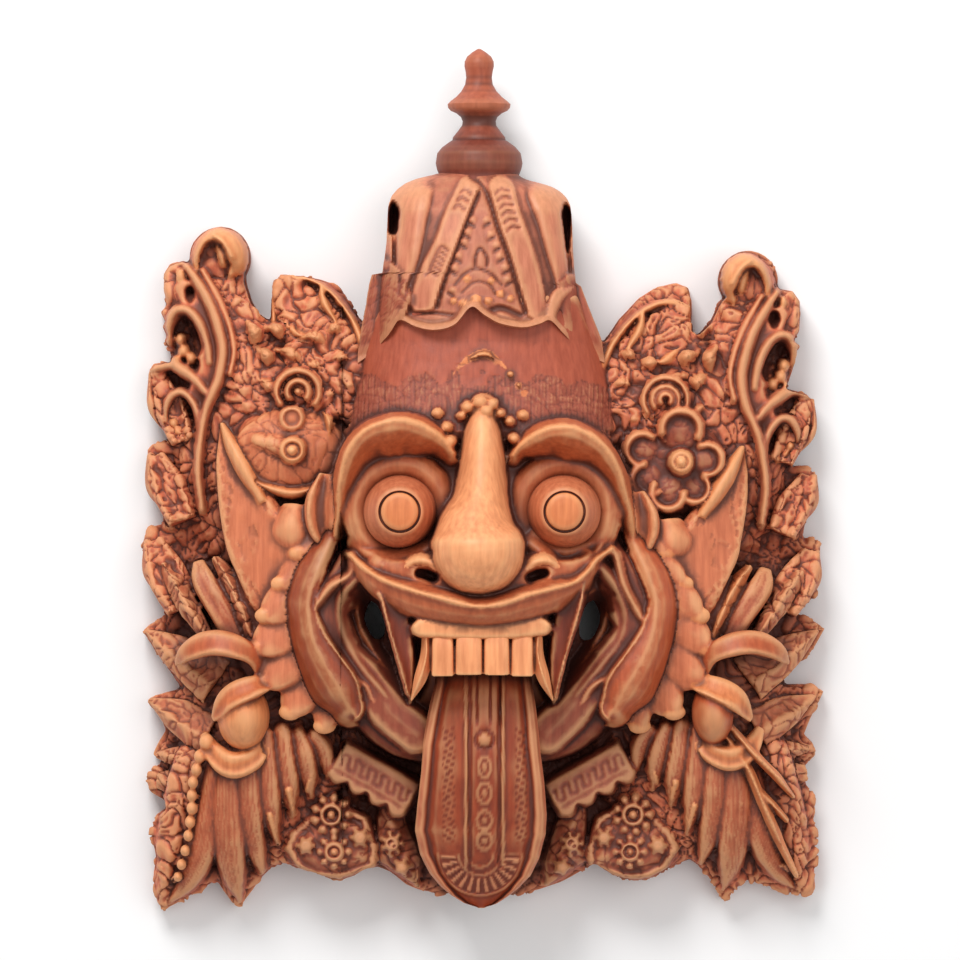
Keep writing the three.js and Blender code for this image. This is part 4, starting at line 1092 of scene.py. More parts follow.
def carveEdgeLeaves(block, side):
    on = {"side": side, "wing": True}
    # three blunt leaves down the edge, each with a raised rim and a sunk middle
    for root, tip, width in (((150, 20, 26), (163, 54, 17), 15), ((150, -20, 28), (164, 13, 17), 18),
                             ((150, -64, 30), (165.5, -30, 18), 20)):
        middle = [(a + b) / 2 for a, b in zip(root, tip)]
        block.limb([root, middle, tip], [width * 0.8, width, width * 0.5], [7, 6, 3],
                   section=[0.2, 1, 0.6, 0.4, 0.7, 0.4, 0.6, 1, 0.2], crumb=0.6, tone="ground", **on)
        block.limb([(root[0] + 6, root[1] + 4, 22), (tip[0] + 3, (root[1] + tip[1]) / 2, 18),
                    (tip[0] + 3, tip[1] + 1, 16)], [3, 3.5, 3], [5, 5, 3], section="ridge", tone="edge",
                   **on)
    # pointed leaves: a dark upper facet, a sharp ridge and a lit lower facet
    facets = [0.1, 0.25, 0.35, 0.45, 0.55, 1, 0.8, 0.5, 0.1]
    for root, tip, width in (((132, -100, 36), (169, -74.5, 17), 26),
                             ((136, -126, 36), (167, -109.5, 17), 24)):
        middle = [a * 0.45 + b * 0.55 for a, b in zip(root, tip)]
        block.limb([root, middle, tip], [width, width * 0.7, 2], [6, 7, 2], section=facets, crumb=0.35,
                   tone="edge", **on)
    for root, tip, width, end in (((140, -138, 32), (164, -137.5, 17), 10, 3),
                                  ((142, -152, 30), (163, -150, 17), 14, 8),
                                  ((144, -170, 28), (162, -172, 16), 12, 4),
                                  ((144, -186, 27), (163, -186, 15), 10, 4),
                                  ((146, -198, 24), (163, -200, 14), 8, 3)):
        middle = [(a + b) / 2 for a, b in zip(root, tip)]
        block.limb([root, middle, tip], [width, width, end], [5, 6, 2], section="ridge", crumb=0.7,
                   tone="edge", **on)
    # long crumbly ridges beside smooth channels, above the hooked petal
    block.limb([(113, -84, 46), (119, -66, 46), (127, -48, 42), (134, -38, 36)], [5, 8, 8, 4],
               [7, 11, 10, 4], section="ridge", tone="gold" if side > 0 else "edge",
               crumb=0.2 if side > 0 else 0.5, polish=0.6, **on)
    block.limb([(120, -86, 42), (130, -66, 42), (139, -50, 38), (142, -40, 34)], [8, 12, 12, 6],
               [4, 6, 6, 3], section="flat", tone="feather", polish=0.6, strands=0.6, **on)
    block.limb([(136, -80, 40), (146, -64, 37), (154, -50, 31), (160, -41, 26)], [6, 10, 9, 4],
               [7, 11, 9, 3], section="ridge", tone="edge", crumb=0.6, **on)
    block.limb([(108, -78, 44), (114, -60, 46), (121, -40, 45)], [6, 10, 6], [4, 6, 3], section="flat",
               tone="feather", polish=0.6, strands=0.6, **on)


def carveEar(block, side):
    on = {"side": side, "wing": True}
    # long smooth ear with a bright inner edge
    block.limb([(130, 29, 38), (126, 12, 43), (119, -8, 47), (112, -26, 50), (107, -42, 52), (104, -58, 52),
                (100, -72, 50)], [2, 14, 26, 34, 32, 24, 10], [3, 6, 8, 9, 10, 10, 6],
               section=[0.3, 0.42, 0.5, 0.58, 0.66, 0.75, 0.85, 1, 0.4], tone="ear", polish=0.55,
               strands=0.8, blank="long", **on)
    block.limb([(130, 29, 42), (124, 17, 49), (117, 4, 53), (109, -10, 55)], [3, 8, 9, 5], [3, 6, 6, 3],
               section="round", tone="gold", polish=0.75, **on)
    # inner ear leaf and the smooth swelling beside the beard
    block.limb([(78, 4, 62), (80, -10, 64), (79, -24, 62), (73, -34, 58)], [6, 16, 14, 4], [4, 8, 8, 3],
               section="scoop", tone="ear", polish=0.5, strands=0.4, **on)
    block.limb([(92, -12, 54), (94, -24, 57), (91, -36, 56)], [14, 22, 14], [5, 8, 5], tone="ear",
               polish=0.5, **on)


# Overlapping scale-like leaves down the outside of each cheek, like a beard.
beardLeaves = [
    {"root": (76, -26, 60), "tip": (92, -37, 60), "width": 15},
    {"root": (82, -40, 62), "tip": (101, -52, 60), "width": 19},
    {"root": (88, -54, 62), "tip": (109, -68, 60), "width": 22},
    {"root": (92, -70, 61), "tip": (113, -84, 59), "width": 23},
    {"root": (92, -86, 60), "tip": (109, -101, 57), "width": 22},
    {"root": (85, -98, 58), "tip": (97, -116, 55), "width": 20},
    {"root": (74, -106, 56), "tip": (80, -123, 53), "width": 16},
]


def carveBeard(block, side):
    # each scale is a smooth lobe whose tip lifts off the scale below
    lobe = [0.1, 0.4, 0.62, 0.8, 0.94, 1, 0.98, 0.85, 0.2][::-side]
    for leaf in beardLeaves:
        root, tip, width = leaf["root"], leaf["tip"], leaf["width"]
        first, second = [[a * (1 - s) + b * s for a, b in zip(root, tip)] for s in (0.4, 0.8)]
        block.limb([root, first, second, tip], [width, width * 1.05, width * 0.72, 2 if side > 0 else 6],
                   [3, 4, 5, 4], section=lobe, root=20, side=side, tone="ear", polish=0.6, strands=0.15)
        # a gold bead at each tip: a painted highlight
        block.ball((tip[0] - 1.5, tip[1] + 1.5, tip[2] + 1.6), (6, 4.4, 3.4), side=side, tone="gold",
                   polish=0.75, blank="bead")


def carveLowerWing(block, side):
    on = {"side": side, "wing": True}
    # hooked petal over the bud
    hook = [(109, -101, 50), (113, -88, 58), (122, -82, 62), (134, -80, 61), (146, -84, 56), (153, -91, 48)]
    block.limb(hook, [3, 8, 12, 13, 10, 2], [3, 7, 9, 9, 7, 2],
               section=[0.2, 0.55, 0.62, 0.7, 0.76, 0.82, 0.9, 1, 0.5], sinks=[12], tone="petal",
               polish=0.75, blank="long", **on)
    # bud: a smooth egg with a second petal laid over its upper side
    centre = (119, -117, 50) if side < 0 else (115, -115, 50)
    tone = "gold" if side < 0 else "petal"
    reach = 13 if side < 0 else 10.5
    block.ball(centre, (reach, 16.5, 18), side=side, tone=tone, polish=0.85)
    block.limb([(106, -100, 54), (114, -102, 62), (126, -108, 62), (134, -118, 54)], [5, 12, 12, 3],
               [4, 7, 7, 3], section="rightHigh", sinks=[10], side=side, tone="bud" if side < 0 else "gold",
               polish=0.7)
    # cup under the bud
    block.limb([(106, -126, 44), (113, -137, 49), (124, -141, 50), (133, -136, 46), (139, -126, 42)],
               [5, 11, 14, 11, 4], [4, 7, 8, 6, 3], section=[0.3, 0.8, 1, 0.94, 0.84, 0.8, 0.84, 0.9, 0.4],
               tone="gold", polish=0.75, **on)
    # ribs that run down from the bud to the lowest leaf
    if side < 0:
        for x, y, z, size in ((137.5, -129.8, 47, 4.4), (141, -137, 46, 3.6), (142.6, -143.5, 45, 3.4),
                              (144.4, -150, 44, 3.2), (145, -156.5, 42, 3.2), (145, -163, 41, 3.1),
                              (146, -170, 39, 3), (147, -177, 37, 2.9), (148.6, -184.5, 35, 2.8),
                              (150.6, -191.5, 32, 2.6), (152.6, -198, 28, 2.2)):
            block.ball((x, y, z), (size * 0.9, size * 1.05, 5.5), side=side, tone="gold", polish=0.5,
                       blank="bead")
    else:
        ribs = [
            ([(124, -122, 50), (134, -134, 50), (146, -146, 46), (156, -158, 40)], 4.5),
            ([(121, -126, 50), (132, -142, 49), (140, -160, 45), (148, -178, 38), (158, -198, 28)], 5),
            ([(126, -130, 46), (134, -148, 45), (146, -162, 40), (153, -170, 36)], 3.5),
        ]
        for rib, wide in ribs:
            block.limb(rib, [3, wide, wide, wide, 2], [4, 8, 8, 7, 3], section="ridge", side=side,
                       tone="gold", polish=0.6, blank="long")


for side in (-1, 1):
    carveEdgeLeaves(wood, side)
    carveEar(wood, side)
    carveBeard(wood, side)
    carveLowerWing(wood, side)


def carveForehead(block):
    # chevron and beads on the hat's band
    block.limb([(-14, 54, 70), (-8, 60, 70), (1, 63.5, 70), (7, 60.5, 70), (12, 56.5, 70)],
               [2, 3, 4.5, 3, 2], [2, 3, 4, 3, 2], section="ridge", sinks=[8], tone="gold", crumb=0.2)
    for x, y, size in ((14, 53.5, 1.8), (18, 48, 1.5), (21, 44, 1.7)):
        block.ball((x, y, 73), (size, size, 4), tone="gold", polish=0.4, blank="bead")


carveForehead(wood)


def cellNoise(points, size, seed):
    # distances to the nearest and the second nearest of scattered centres, seen from the front
    flat = np.asarray(points)[:, :2] / size
    low = np.floor(flat).astype(np.int64)
    nearest = np.full(len(flat), 9.0)
    second = np.full(len(flat), 9.0)
    for dx in (-1, 0, 1):
        for dy in (-1, 0, 1):
            cell = np.column_stack([low[:, 0] + dx, low[:, 1] + dy, np.zeros(len(low), np.int64)])
            centre = cell[:, :2] + np.column_stack([randomAt(cell, seed), randomAt(cell, seed + 7)])
            gap = np.hypot(flat[:, 0] - centre[:, 0], flat[:, 1] - centre[:, 1])
            second = np.minimum(second, np.maximum(nearest, gap))
            nearest = np.minimum(nearest, gap)
    return nearest, second


def pointNormals(piece):
    normals = np.empty(len(piece.data.vertices) * 3)
    piece.data.vertex_normals.foreach_get("vector", normals)
    return normals.reshape(-1, 3)


def neighbours(piece):
    pairs = np.empty(len(piece.data.edges) * 2, dtype=np.int32)
    piece.data.edges.foreach_get("vertices", pairs)
    pairs = pairs.reshape(-1, 2)
    count = np.bincount(pairs.ravel(), minlength=len(piece.data.vertices))
    return pairs, np.maximum(count, 1)


def blurred(values, pairs, count, rounds):
    for _ in range(rounds):
        sums = [np.bincount(pairs[:, 0], values[pairs[:, 1], k], len(count)) +
                np.bincount(pairs[:, 1], values[pairs[:, 0], k], len(count)) for k in range(values.shape[1])]
        values = values * 0.3 + 0.7 * np.column_stack(sums) / count[:, None]
    return values


def softened(piece, rounds):
    pairs, count = neighbours(piece)
    points, _, _ = readShape(piece)
    flatBack = points[:, 2] < 0.3
    smooth = blurred(points, pairs, count, rounds)
    smooth[flatBack, 2] = 0
    writePoints(piece, smooth)


def carveGrain(piece, seed, amount=1.0):
    # the carver's small cuts: rough ground, strands along the leaves and a trace of the knife everywhere
    points, _, _ = readShape(piece)
    normals = pointNormals(piece)
    finish, place = readMark(piece, "finish"), readMark(piece, "place")
    crumb, strands = finish[:, 1], finish[:, 2]
    front = smoothStep(0.05, 0.5, normals[:, 2]) * (points[:, 2] > 1)
    warped = points + np.column_stack([latticeNoise(points, 11, seed), latticeNoise(points, 11, seed + 1),
                                       np.zeros(len(points))]) * 7
    near, second = cellNoise(warped, 7.5, seed + 2)
    curls = 1 - 2 * np.abs(latticeNoise(warped, 6.5, seed + 3))
    fineCurls = 1 - 2 * np.abs(latticeNoise(warped, 3.2, seed + 4))
    worms = 0.9 * curls + 0.5 * fineCurls + 2.2 * (0.4 - near)
    worms -= 1.7 * (1 - smoothStep(0.02, 0.16, second - near))
    worms -= 1.6 * (1 - smoothStep(0.08, 0.2, near)) * (latticeNoise(points, 12, seed + 7) > 0.15)
    lumps = latticeNoise(points, 11, seed + 5) * 1.6
    move = crumb * front * (worms + lumps)
    lineNoise = latticeNoise(points * (1, 0.5, 1), 6, seed + 6)
    wave = np.sin(place[:, 0] * (2 * math.pi / 2.6) + lineNoise * 1.6)
    cuts = -0.55 * smoothStep(0.35, 0.95, wave) + 0.15 * wave
    move += strands * front * cuts
    trace = latticeNoise(points, 14, seed + 8) * 0.35 + latticeNoise(points, 5, seed + 9) * 0.16
    move += trace * (points[:, 2] > 1) * np.where(normals[:, 2] > -0.5, 1, 0.5)
    points += normals * (move * amount)[:, None]
    points[:, 2] = np.maximum(points[:, 2], 0)
    writePoints(piece, points)


def heightMap(pieces, cell=1.0):
    # highest point over each square millimetre, with empty squares taking the highest of their neighbours
    wide, tall = 360, 450
    field = np.zeros((tall, wide))
    for piece in pieces:
        points, _, _ = readShape(piece)
        column = np.clip((points[:, 0] / cell + wide / 2).astype(int), 0, wide - 1)
        row = np.clip((points[:, 1] / cell + tall / 2).astype(int), 0, tall - 1)
        np.maximum.at(field, (row, column), points[:, 2])
    padded = np.pad(field, 1)
    around = np.max([padded[1 + r:1 + r + tall, 1 + c:1 + c + wide] for r in (-1, 0, 1) for c in (-1, 0, 1)],
                    axis=0)
    return np.where(field > 0, field, around)


def boxBlur(field, reach):
    for _ in range(3):
        for axis in (0, 1):
            padded = np.concatenate([np.repeat(np.take(field, [0], axis), reach + 1, axis), field,
                                     np.repeat(np.take(field, [-1], axis), reach, axis)], axis)
            total = np.cumsum(padded, axis)
            size = field.shape[axis]
            high = np.take(total, range(2 * reach + 1, 2 * reach + 1 + size), axis)
            low = np.take(total, range(0, size), axis)
            field = (high - low) / (2 * reach + 1)
    return field


def sampleMap(field, points):
    column = np.clip(points[:, 0] + field.shape[1] / 2 - 0.5, 0, field.shape[1] - 1.001)
    row = np.clip(points[:, 1] + field.shape[0] / 2 - 0.5, 0, field.shape[0] - 1.001)
    c, r = column.astype(int), row.astype(int)
    fc, fr = column - c, row - r
    return ((field[r, c] * (1 - fc) + field[r, c + 1] * fc) * (1 - fr) +
            (field[r + 1, c] * (1 - fc) + field[r + 1, c + 1] * fc) * fr)


def writeWearAndPaintedLight(piece, deepMap, wideMap, wearAndHighlight=1.0, fine=1):
    # how deep each point lies in a cut (0 to 1), for painted shade with some dark stain, and how far it
    # stands out as an edge (0 to 1), for a painted highlight with some rubbed wear
    points, _, _ = readShape(piece)
    normals = pointNormals(piece)
    pairs, count = neighbours(piece)
    near = blurred(points, pairs, count, 3 * fine)
    far = blurred(near, pairs, count, 14 * fine)
    nearBend = np.einsum("ij,ij->i", near - points, normals)
    farBend = np.einsum("ij,ij->i", far - points, normals)
    below = sampleMap(deepMap, points) - points[:, 2]
    belowWide = sampleMap(wideMap, points) - points[:, 2]
    # deep in a cut: painted shade, with some dark stain
    stainAndPaintedShade = (smoothStep(0.02, 0.22, nearBend) * 0.35 + smoothStep(0.1, 1.0, farBend) * 0.5 +
              smoothStep(1, 9, below) * 0.45 + smoothStep(3, 24, belowWide) * 0.35)
    # standing out as an edge: painted highlight, with some rubbed wear
    edge = smoothStep(0.04, 0.26, -nearBend) * 0.5 + smoothStep(0.25, 1.3, -farBend) * 0.65
    edge *= (1 - smoothStep(0, 8, belowWide) * 0.6) * wearAndHighlight
    behind = points[:, 2] < 0.5
    stainAndPaintedShade[behind] = 0
    wearAndPaintedLight = [np.clip(stainAndPaintedShade, 0, 1), np.clip(edge, 0, 1), np.zeros(len(points))]
    writeMark(piece, "wearAndPaintedLight", "FLOAT_VECTOR", np.column_stack(wearAndPaintedLight))


carving = wood.joined("carving", detail["blockVoxel"], keepOut=6.0)
print("carving skin", len(carving.data.vertices))
softened(carving, 1)


def sharpened(piece, relief):
    # the skin is coarser than the drawn face, so its points go back to the drawn heights
    points, _, _ = readShape(piece)
    drawn = relief.at(relief.z, points[:, 0], points[:, 1])
    close = (np.abs(points[:, 2] - drawn) < 2.2) & (pointNormals(piece)[:, 2] > 0.15) & (points[:, 2] > 16)
    points[close, 2] = drawn[close]
    writePoints(piece, points)


sharpened(carving, faceRelief)
carveGrain(carving, 11)


def singlePiece(name, block):
    points, corners, starts, marks = block.shapes[0][:4]
    piece = makePiece(name, (points, corners, starts))
    for (label, kind), values in zip(pointMarks, marks):
        writeMark(piece, label, kind, values)
    makeActive(piece)
    bpy.ops.object.mode_set(mode="EDIT")
    bpy.ops.mesh.select_all(action="SELECT")
    bpy.ops.mesh.normals_make_consistent(inside=False)
    bpy.ops.object.mode_set(mode="OBJECT")
    return piece


print("tongue")
fineSides, fineRings = ((170, 300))
blanks["tongue"] = limbBlank(fineSides, fineRings)
tongue = {
    "spine": [(-1, -84, 58), (-1, -108, 72), (0, -140, 74), (0, -172, 66), (-1, -198, 57), (-1, -212, 50)],
    "left": [(-84, -23), (-100, -23.5), (-115, -27), (-130, -30), (-144, -31.5), (-160, -33.5),
             (-173, -34.5), (-185, -31.5), (-195, -26), (-201, -21), (-206, -15.5), (-210, -9), (-212, -2)],
    "right": [(-84, 24), (-100, 25), (-115, 27), (-130, 28.5), (-150, 31), (-165, 32), (-175, 31.5),
              (-187, 28.5), (-196, 24), (-203, 17.5), (-207, 12.5), (-210.5, 7), (-212, 1)],
}


def tongueEdge(side, y):
    edge = tongue["left" if side < 0 else "right"]
    return np.interp(-y, [-p[0] for p in edge], [p[1] for p in edge])


def carveTongue():
    block = Block()
    block.limb(tongue["spine"], [52], [1], sinks=[2, 14, 24, 24, 26, 30], section="flat", tone="tongue",
               polish=0.55, blank="tongue")
    points, corners, starts, marks = block.shapes[0][:4]
    x = points[:, 0] + 1
    share = np.clip(x / 26, -1, 1)
    y = points[:, 1]
    left, right = tongueEdge(-1, y), tongueEdge(1, y)
    points[:, 0] = (left + right) / 2 + share * (right - left) / 2
    top = points[:, 2] > np.interp(-y, [84, 108, 140, 172, 198, 212], [58, 72, 74, 66, 57, 50]) - 1.5
    # crown of the tongue across its width, raised rims and the carved pattern
    bulge = 9 * (1 - share**2) * smoothStep(-212, -170, y)
    rim = 2.6 * smoothStep(0.78, 0.88, np.abs(share)) * (1 - smoothStep(0.94, 1.0, np.abs(share)))
    rim += -1.0 * smoothStep(0.66, 0.76, np.abs(share)) * (1 - smoothStep(0.78, 0.84, np.abs(share)))
    X = points[:, 0]
    lift = np.zeros(len(points))
    middle = 1.2
    band = np.abs(X - middle)
    lift += 1.3 * (1 - smoothStep(0.5, 1.2, np.abs(band - 9.2))) * smoothStep(-196, -188, y)
    lift += -0.9 * (1 - smoothStep(0.6, 1.2, np.abs(band - 7.2))) * smoothStep(-196, -188, y)
    # a pearl and faint oval links down the middle
    bead = np.hypot(X - middle, y + 127.5)
    groove = 1 - smoothStep(0.4, 1, np.abs(bead - 4.6))
    lift += 2.2 * np.sqrt(np.clip(1 - (bead / 3.4) ** 2, 0, 1)) - 0.8 * groove
    for cy, rx, ry in ((-141, 3, 5), (-154, 3.4, 5), (-167.5, 3.6, 4.6), (-178, 3.6, 4.4)):
        oval = np.hypot((X - middle) / rx, (y - cy) / ry)
        lift += 0.6 * (1 - smoothStep(0.12, 0.34, np.abs(oval - 1)))
        lift += 0.7 * np.sqrt(np.clip(1 - (oval / 0.5) ** 2, 0, 1))
    # rows of short strokes on both sides
    for rowMiddle in (-16.5, 19.5):
        inside = (1 - smoothStep(2.6, 3.4, np.abs(X - rowMiddle))) * smoothStep(-180, -176, y) * \
            (1 - smoothStep(-124, -120, y))
        pattern = np.sin((y + (X - rowMiddle) * 0.7) * (2 * math.pi / 3.8) + np.floor(y / 13) * 1.9)
        lift += -0.55 * inside * smoothStep(0.2, 0.8, pattern)
    # grooves under the teeth
    for grooveX in (-8, -2.5, 4, 9):
        lift += -1.0 * (1 - smoothStep(0.3, 0.9, np.abs(X - grooveX))) * smoothStep(-122, -116, y)
    # lunette at the tongue's end: two arches with rays between them
    low = 1 - smoothStep(-187, -183, y)
    bow = np.hypot(X + 1, y + 185)
    for reach in (6.5, 10.5, 21):
        lift += 0.8 * (1 - smoothStep(0.4, 1.1, np.abs(bow - reach))) * low
    ray = np.sin(np.arctan2(y + 185, X + 1) * 26)
    between = smoothStep(11.4, 12.4, bow) * (1 - smoothStep(19, 20, bow)) * low
    lift += between * (1.1 * smoothStep(-0.2, 0.5, ray) - 0.4)
    points[:, 2] += np.where(top, bulge + rim + lift, bulge * 0.5)
    marks[0][:] = linearTone("tongue")
    pale = np.maximum(between * smoothStep(-0.3, 0.4, ray), smoothStep(0.8, 0.86, np.abs(share))) * top
    marks[0][:] += (np.array(linearTone("edge")) - marks[0]) * pale[:, None]
    block.shapes[0] = (points, corners, starts, marks, True)
    return singlePiece("tongue", block)


tonguePiece = carveTongue()

print("crown")
blanks["crown"] = limbBlank(250, 230)
crown = {
    "left": [(52, 61), (66, 61), (81, 58.5), (98, 55.4), (103.5, 54), (104.5, 48.8), (120, 46.7),
             (134, 46.2), (139, 45.8), (143, 44.4), (146.5, 41.4), (149.4, 37.5), (151.6, 32.5), (153, 27),
             (154.4, 21), (156, 17), (158, 10)],
    "right": [(52, 62.5), (62, 62), (71, 60.5), (80, 57), (92, 52.5), (98, 50.2), (99, 47.8), (118, 46.4),
              (134, 45.8), (138.5, 45), (142, 43.4), (145, 40.6), (147.4, 36.5), (149, 32), (150.2, 27),
              (152, 22), (155, 18), (158, 10)],
    "rise": [(52, 44), (62, 47), (74, 48), (90, 46), (106, 43), (122, 39), (136, 34), (146, 28), (152, 22),
             (158, 15)],
    "lip": [(-62, 57.5), (-57, 61), (-51, 66.5), (-46, 72), (-41, 78.6), (-33, 75.3), (-24, 73.5),
            (-13.5, 76.2), (-5.5, 85), (1, 81), (9, 76.6), (20.4, 74.8), (28.5, 76.6), (33.8, 78.4),
            (40, 72.5), (47, 65.5), (56, 60), (64, 56)],
}
crownLift = Relief((-66, 50), (66, 160), 0.5)


def carveCrownPattern(relief):
    # heights above the plain crown: lobes, slanting bands, a wedge of small cuts and the collar of leaves
    def cut(stations, depth, reach):
        groove = [(-1, 1.6), (-0.4, 0.2), (0, 0), (0.4, 0.2), (1, 1.6)]
        relief.sweep([(a, b, depth, reach, reach) for a, b in stations], groove, None, cutting=True)

    everywhere = np.ones(len(relief.x), bool)
    relief.paint(everywhere, "crown", (0.6, 0.05, 0))
    lobe = [(-1, -4.6), (-0.85, -2.4), (-0.55, -0.7), (-0.2, 0), (0.1, 0), (0.5, -0.7), (0.85, -2.4),
            (1, -4.6)]
    relief.sweep([(-33, 153, 2, 10, 16), (-35, 146, 4.6, 11, 21), (-36.5, 130, 5, 9, 15.5),
                  (-38, 112, 5, 7, 9.5), (-38.5, 97, 3, 2, 3)], lobe, "crownLobe", polish=0.9)
    relief.sweep([(30, 151, 2, 12, 9), (32, 144, 4.6, 15, 10), (34.5, 130, 5, 13.4, 7),
                  (37.5, 112, 5, 10.5, 5), (39.5, 96, 3, 3, 2)], lobe, "crownLobe", polish=0.9)
    strip = [(-1, -2.6), (-0.9, 0.1), (-0.78, 0.5), (-0.62, 0), (0.62, 0), (0.78, 0.5), (0.9, 0.1),
             (1, -2.6)]
    leftBand = [(-6.5, 147.5, 2.4, 5.4, 5.4), (-13, 132.5, 2.4, 6, 6), (-18.5, 117.3, 2.4, 6, 6),
                (-24.3, 104.8, 2.4, 6.6, 6.6), (-29.5, 90, 2.2, 7, 7)]
    rightBand = [(9.5, 147, 2.4, 6.4, 6.4), (14, 131, 2.4, 6.3, 6.3), (18.6, 118, 2.4, 6.3, 6.3),
                 (23.4, 102, 2.4, 6.4, 6.4), (27, 86, 2.2, 5.6, 5.6)]
    relief.sweep(leftBand, strip, "crownLobe", polish=0.6)
    relief.sweep(rightBand, strip, "crownLobe", polish=0.6)
    for low, high, count, run, lean in ((137, 145, 3, leftBand, -1), (104, 116, 6, leftBand, -1),
                                        (126, 145, 6, rightBand, 1)):
        for y in np.linspace(low, high, count):
            x = np.interp(y, [p[1] for p in reversed(run)], [p[0] for p in reversed(run)])
            cut([(x - 3 * lean - 0.6, y - 1.4), (x - 1, y + 0.9),
                 (x + 3 * lean, y + (0.4 if lean > 0 else -1))], 0.7, 0.85)
    # the wedge between the bands: dashes along its edges, an ogee arch, a larger arch and a ring
    cut([(-5.5, 152.5), (1.7, 144.9), (7.9, 126.2), (13.3, 111), (18.6, 93.1), (21.5, 84)], -2.2, 1.3)
    cut([(-1.4, 144), (-7.3, 128.9), (-13.5, 112.8), (-18.9, 98.5), (-22.4, 86.9)], -1.8, 1.1)
    for x, y in ((-5.5, 128), (-7.7, 122), (-9.5, 117), (-12.2, 110), (-14.4, 104), (-15.3, 93)):
        cut([(x - 1.4, y + 1), (x + 1.6, y - 1.2)], -1.5, 0.9)
        relief.dome((x + 0.6, y + 2.6), (1.9, 1.7, 1.4), 1.2, tone="crownLobe", polish=0.6)
    for x, y in ((2.6, 128), (4.8, 121), (7.5, 115.5), (9.3, 110), (12, 104.3), (13.3, 98.5)):
        cut([(x - 1.6, y - 1), (x + 1.4, y + 0.9)], -1.5, 0.9)
        relief.dome((x - 0.4, y + 2.6), (1.9, 1.7, 1.4), 1.2, tone="crownLobe", polish=0.6)
    cut([(-3.4, 107), (-3.2, 112), (-1, 116), (2.4, 111.5), (2.2, 107)], -1.6, 0.9)
    cut([(-13.5, 98), (-9, 103), (-3, 106), (4, 103.6), (9.7, 98)], -1.5, 0.9)
    cut([(-10, 94), (-5, 98.5), (-1, 99.5), (4, 97.6), (7, 93)], -1.3, 0.8)
    for x, y, size in ((-3, 90.5, 2.6), (-9.5, 89, 2), (9, 93.5, 2), (-7.5, 101, 1.6), (4.5, 100, 1.6),
                       (3, 90, 2), (-14, 90, 1.8), (14, 91, 1.8)):
        relief.dome((x, y), (size, size, 2), 1.7, tone="gold", polish=0.6)
    cut([(2.6, 83.6), (9, 86.2), (18.6, 82.6)], -2.5, 2)
    cut([(-34, 83.5), (-24, 84), (-13, 82.5)], -1.6, 1)
    # slots beside the lobes, and the narrow groove under each
    relief.sweep([(-44.4, 139, -17, 1, 1), (-44, 135, -17, 2.6, 2.6), (-44.4, 126, -17, 2.4, 2.4)],
                 [(-1, 15), (-0.8, 0), (0.8, 0), (1, 15)], "mouth", cutting=True)
    relief.sweep([(41.8, 138, -17, 1, 1), (42.2, 134, -17, 2.4, 2.4), (42.6, 124, -17, 1.6, 1.6),
                  (42.8, 115.5, -17, 0.6, 0.6)], [(-1, 15), (-0.8, 0), (0.8, 0), (1, 15)], "mouth",
                 cutting=True)
    cut([(-43.8, 125), (-43.6, 104)], -2, 1)
    cut([(43.4, 114), (44, 99)], -2, 1)
    # collar leaves, rough on the left and smooth on the right
    leaf = [(-1, -3.5), (-0.85, 0), (-0.4, 0.8), (0.1, 0), (0.6, -0.6), (1, -3)]
    relief.sweep([(-58, 60, 4, 10, 10), (-52, 78, 6, 10, 10), (-47.5, 103, 6, 8, 7)], leaf, "band",
                 polish=0.45, crumb=0.2, strands=0.8)
    for x, y in ((-42, 84), (-44, 90)):
        relief.sweep([(x, y, 5, 5, 5), (x + 4, y + 7, 5, 3, 3), (x + 6, y + 13, 3, 0.4, 0.4)], leaf, "band",
                     polish=0.45, crumb=0.3, strands=0.6)
    relief.sweep([(61, 58, 4, 10, 10), (52, 74, 6, 10, 10), (44, 97, 6, 7.4, 7.4)], leaf, "band", polish=0.6,
                 crumb=0.06, strands=0.25)
    relief.sweep([(34, 82, 4, 3, 3), (38, 92, 6, 4, 3), (45, 98, 6, 2, 2)], leaf, "crownLobe", polish=0.6)
    # the wavy lip over the hat's band
    lip = [(x, y + 2, 5, 3, 3) for x, y in crown["lip"]]
    relief.sweep(lip, sectionOf("round", 4.4), "crown", polish=0.6, crumb=0.1)
    relief.soften(2)


